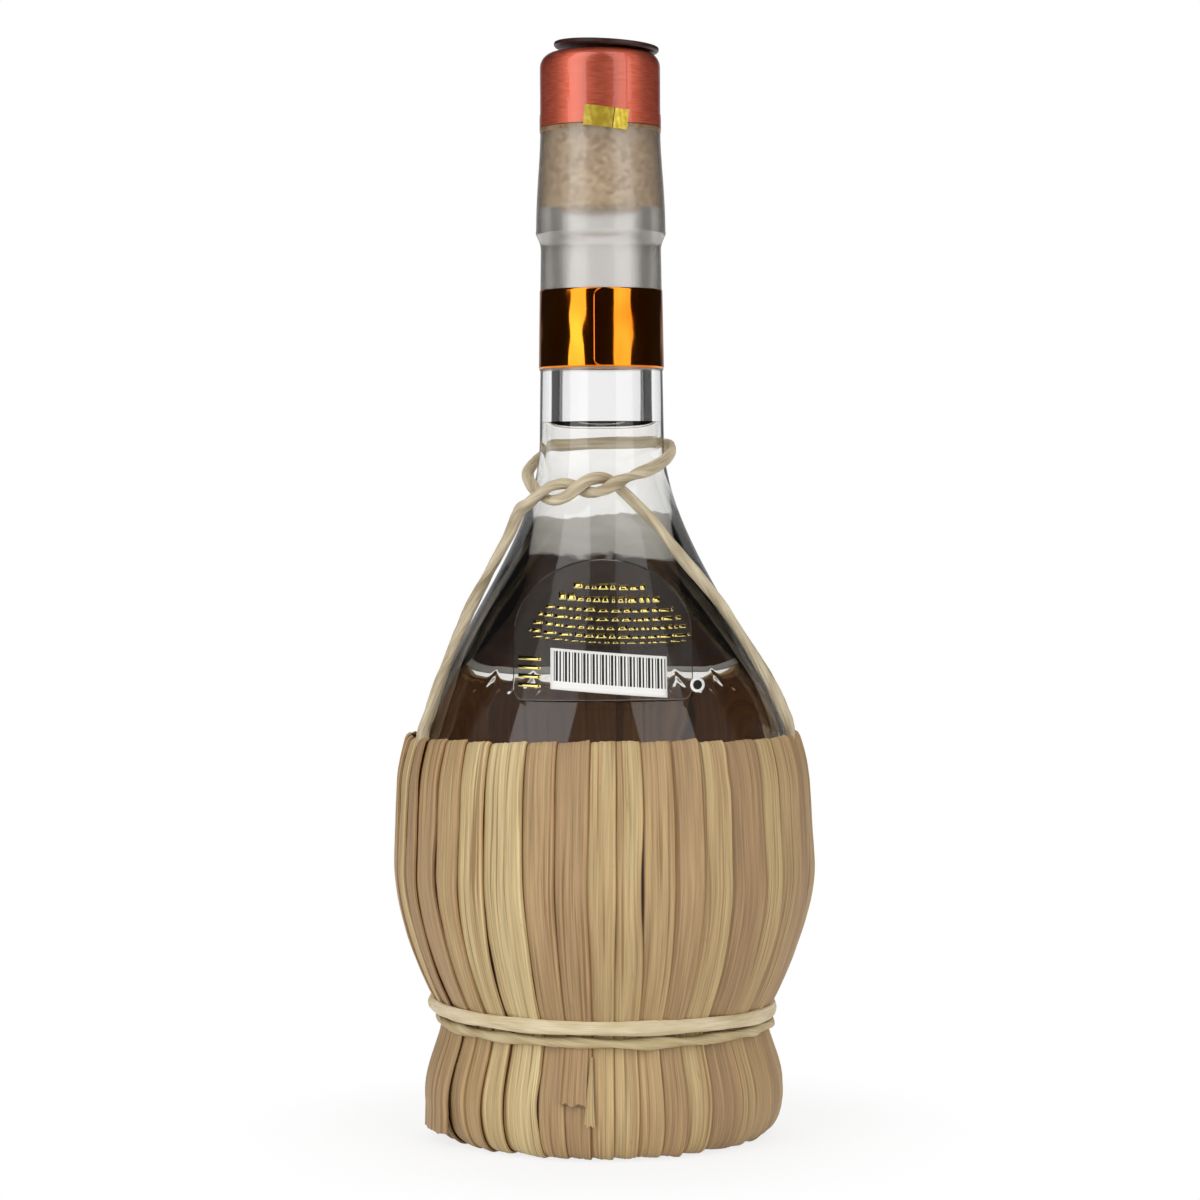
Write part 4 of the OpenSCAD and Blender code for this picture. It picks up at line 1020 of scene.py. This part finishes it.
def crown_mesh():
    """Film over the head: the head's profile with two skins, turned about the axis, with its seam."""
    foot = TEAR_TOP_Z + FILM_GAP
    turn_in = HEAD_R - HEAD_CORNER - CROWN_HEM
    outer = np.concatenate([head_row(FILM_GAP + FILM_T, foot), [(turn_in, HEAD_TOP_Z + FILM_GAP + FILM_T)]])
    inner = np.concatenate([head_row(FILM_GAP, foot), [(turn_in, HEAD_TOP_Z + FILM_GAP)]])[::-1]
    count = 240

    def creases(r, z, a):
        return np.where(r > HEAD_R - 2, seam(a, z), 0) + np.where(r > HEAD_R, 0.02 * smooth_noise(6 * a, 81, 2) * (1 + smooth_noise(z / 2, 82)), 0)
    return revolve("crown_film", np.concatenate([outer, inner]), count, sharp=50, bumps=creases)


dress(crown_mesh(), CROWN, "stopper", ["capsule_crown"])


def tear_ring():
    """Strip of the film between sleeve and crown, with its two perforation lines as narrow waists."""
    z = np.linspace(SLEEVE_TOP_Z + FILM_GAP, TEAR_TOP_Z, 16)
    waist = 0.05 * (np.exp(-((z - z[1]) / 0.25) ** 2) + np.exp(-((z - z[-2]) / 0.25) ** 2))
    r = HEAD_R + TEAR_GAP + 0 * z
    inner = np.stack([r - waist, z], 1)
    outer = np.stack([r + FILM_T - waist, z], 1)[::-1]
    return revolve("tear_ring", np.concatenate([inner, outer]), 128, sharp=40)


dress(tear_ring(), CROWN, nodes=["tear_strip"])


def tab_point(x, depth, up, bent):
    """Places tab points: x along it from its fold, depth outwards and up its height; tilted about the fold
    and turned to the fold's direction. The bent part then lies round the ring: its x becomes an arc."""
    tilt = math.radians(TAB_TILT)
    tab_r = HEAD_R + TEAR_GAP + FILM_T + FILM_GAP
    tab_z = (SLEEVE_TOP_Z + TEAR_TOP_Z) / 2
    x1 = x * math.cos(tilt) + up * math.sin(tilt)
    z1 = -x * math.sin(tilt) + up * math.cos(tilt)
    y1 = -tab_r - depth + 0 * x1
    if bent:
        x1, y1 = (tab_r + depth) * np.sin(x1 / tab_r), -(tab_r + depth) * np.cos(x1 / tab_r)
    c, s = math.cos(math.radians(TAB_FOLD_A - 270)), math.sin(math.radians(TAB_FOLD_A - 270))
    return np.stack([x1 * c - y1 * s, x1 * s + y1 * c, tab_z + z1], -1)


def tab_mesh(name, start, end, bent, seed):
    """Part of the tear tab between two distances from its fold: a thin strip of 4.8 mm, bent to the ring on its
    bonded side, with worn wavy long edges."""
    cols, rows = 24, 14
    x = np.linspace(start, end, cols)[None, :]
    v = np.linspace(-0.5, 0.5, rows)[:, None]
    up = v * (TAB_H + 0.12 * smooth_noise(x * 2, seed, 2))
    depth = 0 * x * v
    x = x + 0.1 * smooth_noise(v * 9, seed + 1) * (np.abs(x) > 2) + 0 * v
    outer = tab_point(x, depth + FILM_T + 0.03 * smooth_noise(x * 3 + v * 4, seed + 2), up, bent)
    inner = tab_point(x, depth, up, bent)
    grid = np.concatenate([outer, inner[:, ::-1]], 1)
    return surface(name, grid, wrap=True, ends=True, sharp=40)


dress(tab_mesh("tab_root", -TAB_ROOT_L, -0.23, True, 91), BONDED_TAPE, nodes=["tear_tab_root"])
dress(tab_mesh("tab_end", 0.02, TAB_L, False, 94), TAPE, "tab", ["tear_tab"])


# Stopper

def shell_mesh():
    """Metal shell of the head: its outer and inner profile turned about the axis."""
    outer = np.concatenate([head_row(0, HEAD_Z), [(0, HEAD_TOP_Z)]])
    inner = np.concatenate([head_row(-SHELL_T, HEAD_Z), [(0, HEAD_TOP_Z - SHELL_T)]])[::-1]
    return revolve("red_shell", np.concatenate([outer, inner]), 160, sharp=40)


def shank_mesh():
    """Cork shank: a chamfered cylinder turned about the axis, swollen against the bore, so that the glass
    shows it widened."""
    r, low, high = BORE_R + 0.02, HEAD_Z - SHANK_L, HEAD_Z + SHANK_GRIP
    side = np.stack([np.full(20, r), np.linspace(low + 1, high, 20)], 1)
    return revolve("cork_shank", np.concatenate([[(0, low), (r - 1, low)], side, [(0, high)]]), 128, sharp=30)


def top_disc():
    """Disc on the head: a shallow dome inside two rolled rims, tilted and set off the axis."""
    r, t = DISC_R, DISC_T
    rims = []
    for centre, size in ((r - 0.35, 0.35), (r - 1.15, 0.3)):
        a = np.linspace(-0.1 * np.pi, 1.0 * np.pi, 9)
        rims.append(np.stack([centre + size * np.cos(a), t - 0.3 + size * np.sin(a)], 1))
    s = np.linspace(1, 0, 12)
    dome = np.stack([s * (r - 1.6), t - 0.4 + DISC_DOME * (1 - s ** 2)], 1)
    profile = np.concatenate([[(0, 0), (r - 0.4, 0), (r, 0.4)], rims[0], rims[1], dome])
    grid = turned(np.concatenate([profile, profile[:1]]), ring_angles(144))
    tilt = math.radians(DISC_TILT)
    seat = HEAD_TOP_Z + FILM_T + 2 * FILM_GAP + (HEAD_R - HEAD_CORNER - DISC_SHIFT) * math.sin(tilt)
    x, y, z = grid[..., 0], grid[..., 1], grid[..., 2]
    grid = np.stack([x * math.cos(tilt) + z * math.sin(tilt) + DISC_SHIFT, y,
                     z * math.cos(tilt) - x * math.sin(tilt) + seat], -1)
    return surface("top_disc", grid, wrap=True, sharp=35)


dress(shell_mesh(), RED, "stopper", ["stopper_shell"])
dress(shank_mesh(), CORK, "stopper", ["stopper_shank"])
dress(top_disc(), DISC, "stopper", ["capsule_top_disc"])
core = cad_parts["stopper_core"]
core.data.materials.clear()
core.data.materials.append(POLYTHENE)


# Labels

def front_label():
    """Front label: a wrap on the far shoulder whose four edges are torn, so they wander by a slow and a fine
    noise; its lower corners are torn off. border holds each point's distance from the nearest edge, counted
    more where less of the printed face is lost."""
    cols, rows = 240, 120
    u = np.linspace(0, 1, cols)[None, :]
    v = np.linspace(0, 1, rows)[:, None]
    half = math.radians(64)
    left = half - 0.02 * smooth_noise(v * 8, 101) - 0.006 * smooth_noise(v * 60, 102)
    right = half - 0.02 * smooth_noise(v * 7, 103) - 0.006 * smooth_noise(v * 57, 104)
    a = np.pi / 2 - left + (left + right) * u
    top = 143.6 + 0.9 * smooth_noise(u * 11, 105) + 0.25 * smooth_noise(u * 90, 106)
    side = np.abs(2 * u - 1)
    low = 97.6 + 4.6 * ease(0.6, 0.9, side) + 0.5 * smooth_noise(u * 10, 107) + 0.2 * smooth_noise(u * 80, 108)
    z = low + (top - low) * v
    r = glass_at(z)
    foot = (z - low) * (4 - 3.2 * ease(0.45, 0.7, side))
    border = np.minimum(np.minimum(foot, (top - z) * 0.5), np.minimum(u, 1 - u) * 2 * half * r)
    border = border + 0.9 * smooth_noise(u * 13 + v * 3, 109) + 0.3 * smooth_noise(u * 55, 110)
    return wrapped("front_label_sheet", a, z, FILM_GAP + 0.02, 0.18, values={"border": border}, sharp=60)


dress(front_label(), PAPER, nodes=["front_label"])


def seen_at(x, z):
    """Angle on the back at which a point of the glass at height z appears x millimetres right of the axis."""
    return 1.5 * np.pi + np.arcsin(np.clip(x / glass_at(z), -0.99, 0.99))


def back_film():
    """Back label film: straight foot and sides with an arched top, as a skin on the glass."""
    cols, rows = 120, 70
    u = np.linspace(-1, 1, cols)[None, :]
    v = np.linspace(0, 1, rows)[:, None]
    half = 20.6
    top = 119.5 + 17.8 * np.sqrt(np.maximum(1 - u ** 2, 0))
    foot = 105.0 + 2.5 * (np.abs(u) > 0.9) * ((np.abs(u) - 0.9) / 0.1) ** 2
    z = foot + (top - foot) * v
    return wrapped("back_label_sheet", seen_at(u * half, z), z, FILM_GAP, 0.12, sharp=60)


dress(back_film(), CLEAR, nodes=["back_label"])


def patch(x0, x1, z0, z1, tilt=0.0, cols=12, rows=3):
    """Grid of one printed mark on the back label between two places across and two heights, and its tilt."""
    x = np.linspace(x0, x1, cols)[None, :] + np.zeros((rows, 1))
    z = np.linspace(z0, z1, rows)[:, None] + tilt * (x - (x0 + x1) / 2)
    return x, z


def printed(name, patches, depth, finish):
    """Printed marks as one piece: every patch is a thin skin on the label film at the same depth."""
    pieces = []
    for n, (x, z) in enumerate(patches):
        pieces.append(wrapped(f"{name}_{n}", seen_at(x, z), z, depth, 0.012, sharp=60))
    first = pieces[0]
    with bpy.context.temp_override(active_object=first, object=first, selected_editable_objects=pieces,
                                   selected_objects=pieces):
        bpy.ops.object.join()
    first.name = name
    return dress(first, finish)


def gold_rules():
    """Plain gold marks of the back label: seven sagging rows of dashes of uneven length with uneven gaps, and four
    short rules at the left below them.
    """
    rng = np.random.default_rng(5)
    marks_list = []
    for z, tall, half, dash in ((131.0, 1.7, 8.2, 1.5), (128.2, 1.9, 11.6, 1.3), (125.6, 1.1, 14.6, 1.7),
                                (123.6, 1.1, 16.4, 2.1), (121.6, 1.1, 17.6, 1.6), (119.7, 1.1, 18.6, 2.0),
                                (118.3, 0.5, 17.6, 1.4)):
        x = -half + 1.6
        while x < half + 1.6:
            end = min(x + dash * rng.uniform(0.3, 1.6), half + 1.6)
            sag = 0.0028 * ((x + end) / 2 - 1.6) ** 2 - 0.035 * ((x + end) / 2 - 1.6)
            high = tall * rng.uniform(0.3, 0.5)
            marks_list.append(patch(x, end, z + sag - tall / 2, z + sag - tall / 2 + 2 * high, 0.0, 4, 2))
            x = end + rng.uniform(0.25, 0.8)
    for n in range(4):
        marks_list.append(patch(-19.4, -14.2, 114.2 - 2.0 * n, 115.1 - 2.0 * n, -0.05, 6, 2))
    return marks_list


printed("gold_rules", gold_rules(), 0.24, GOLD)
printed("white_panel", [patch(-12.0, 14.6, 106.8, 116.0, -0.08, 30, 12)], 0.24, WHITE_INK)


def panel_bars():
    """Plain upright bars on the white panel, their widths repeating in a simple count of one to three."""
    x, bars = -11.2, []
    for n in range(37):
        width = 0.2 + 0.16 * (n * 5 % 3)
        middle = -0.08 * (x - 1.3)
        bars.append(patch(x, x + width, 108.7 + middle, 115.4 + middle, 0.0, 2, 6))
        x += width + 0.22 + 0.12 * (n * 7 % 3)
    return bars


printed("panel_bars", panel_bars(), 0.27, BLACK_INK)


def spot(name, size, depth, finish):
    """Round printed spot at the right of the panel: a polar grid of rings and directions on the label film."""
    t = ring_angles(40)
    rings = np.linspace(0, size, 5)[:, None]
    x, z = 21.6 + rings * np.cos(t), 108.4 + rings * np.sin(t)
    a = seen_at(x, z)
    r = glass_at(z) + depth
    piece = surface(name, np.stack([r * np.cos(a), r * np.sin(a), z], -1), wrap=True, sharp=60)
    wall = piece.modifiers.new("thickness", "SOLIDIFY")
    wall.thickness = 0.012 * MM
    return dress(piece, finish)


spot("white_spot", 1.7, 0.24, WHITE_INK)
spot("black_spot", 1.05, 0.27, BLACK_INK)


# Stage, light and camera

def white_stage():
    """Floor: pale, matt and wide. Seen by the camera, by metal or through glass it is white, but for the
    bottle's faint shadow close round its foot. From below it is clear."""
    half = 4.0
    mesh = bpy.data.meshes.new("floor")
    mesh.from_pydata([(-half, -half, 0), (half, -half, 0), (half, half, 0), (-half, half, 0)], [], [(0, 1, 2, 3)])
    floor = bpy.data.objects.new("floor", mesh)
    bpy.context.scene.collection.objects.link(floor)
    tree, shader, new = material("white_paper_sweep")
    fill(shader, Base_Color=linear("#f4f4f4"), Roughness=0.9, Specular_IOR_Level=0.0)
    path = add(tree, "LightPath")
    seen = add(tree, "Math", {0: path.outputs["Is Camera Ray"], 1: path.outputs["Is Transmission Ray"]}, operation="MAXIMUM").outputs[0]
    seen = add(tree, "Math", {0: seen, 1: path.outputs["Is Glossy Ray"]}, operation="MAXIMUM").outputs[0]
    place = add(tree, "TexCoord").outputs["Object"]
    away = add(tree, "VectorMath", {0: place}, operation="LENGTH").outputs["Value"]
    white = add(tree, "MapRange", {"Value": away, 1: 0.045, 2: 0.1, 3: 0.8, 4: 1.0}, interpolation_type="SMOOTHSTEP").outputs[0]
    share = add(tree, "Math", {0: seen, 1: white}, operation="MULTIPLY").outputs[0]
    glow = add(tree, "Emission", {"Color": (1, 1, 1, 1), "Strength": 1.0}).outputs[0]
    mixed = add(tree, "MixShader", {0: share, 1: shader.outputs[0], 2: glow}).outputs[0]
    below = add(tree, "NewGeometry").outputs["Backfacing"]
    clear = add(tree, "BsdfTransparent").outputs[0]
    mixed = add(tree, "MixShader", {0: below, 1: mixed, 2: clear}).outputs[0]
    tree.links.new(mixed, tree.nodes["Material Output"].inputs[0])
    floor.data.materials.append(new)


def studio_world():
    """World: plain white to the camera and behind the bottle. Through glass there is a dark flag on each side,
    36 to 76 degrees round from the back, as in a studio, and the room is grey beyond; metal and gloss see a dark
    room with a dim backdrop, and matt surfaces an even soft light."""
    world = bpy.data.worlds.new("studio")
    bpy.context.scene.world = world
    world.use_nodes = True
    tree = world.node_tree
    tree.nodes.clear()
    way = add(tree, "TexCoord").outputs["Generated"]
    parts = add(tree, "SeparateXYZ", {0: way})
    back = add(tree, "MapRange", {"Value": parts.outputs["Y"], 1: 0.8, 2: 0.97, 3: 0.015, 4: 0.35},
               interpolation_type="SMOOTHSTEP").outputs[0]
    backdrop = add(tree, "MapRange", {"Value": parts.outputs["Y"], 1: 0.83, 2: 0.89, 3: 0.05, 4: 1.0},
                   interpolation_type="SMOOTHSTEP").outputs[0]
    room = add(tree, "MapRange", {"Value": parts.outputs["Y"], 1: 0.1, 2: 0.3, 3: 0.25, 4: 0.0},
               interpolation_type="SMOOTHSTEP").outputs[0]
    through_glass = add(tree, "Math", {0: backdrop, 1: room}, operation="MAXIMUM").outputs[0]
    path = add(tree, "LightPath")
    level = add(tree, "Mix", {0: path.outputs["Is Glossy Ray"], 2: 0.34, 3: back}).outputs[0]
    level = add(tree, "Mix", {0: path.outputs["Is Transmission Ray"], 2: level, 3: through_glass}).outputs[0]
    level = add(tree, "Mix", {0: path.outputs["Is Camera Ray"], 2: level, 3: 1.0}).outputs[0]
    glow = add(tree, "Background", {"Color": (1, 1, 1, 1), "Strength": level})
    out = add(tree, "OutputWorld", {0: glow.outputs[0]})
    out.is_active_output = True


def soft_box(name, place, size, watts, aim=(0, 0, 0.13), shown=True):
    """Area lamp at a place, aimed at the bottle. shown lets metal and glass mirror it."""
    data = bpy.data.lights.new(name, "AREA")
    data.shape = "RECTANGLE"
    data.size, data.size_y = size
    data.energy = watts
    lamp = bpy.data.objects.new(name, data)
    bpy.context.scene.collection.objects.link(lamp)
    from mathutils import Vector
    lamp.location = place
    lamp.rotation_mode = "QUATERNION"
    lamp.rotation_quaternion = (Vector(aim) - Vector(place)).to_track_quat("-Z", "Y")
    lamp.visible_camera = False
    lamp.visible_transmission = False
    lamp.visible_glossy = shown


white_stage()
studio_world()
soft_box("left_box", (-0.75, -0.8, 1.0), (0.86, 2.4), 14.0, aim=(0, 0, 0.6))
soft_box("right_box", (0.75, -0.8, 1.0), (0.82, 2.4), 10.5, aim=(0, 0, 0.6))
soft_box("back_fill", (0.0, 1.2, 0.9), (1.2, 1.2), 9.0, shown=False)

camera_data = bpy.data.cameras.new("camera")
camera_data.sensor_width = 36
camera_data.lens = 99
camera_data.shift_y = -0.0833
camera = bpy.data.objects.new("camera", camera_data)
bpy.context.scene.collection.objects.link(camera)
camera.location = (-0.0005, -0.792, 0.151)
camera.rotation_euler = (math.radians(90), math.radians(0.28), 0)
bpy.context.scene.camera = camera
bpy.context.scene.view_settings.view_transform = "Standard"
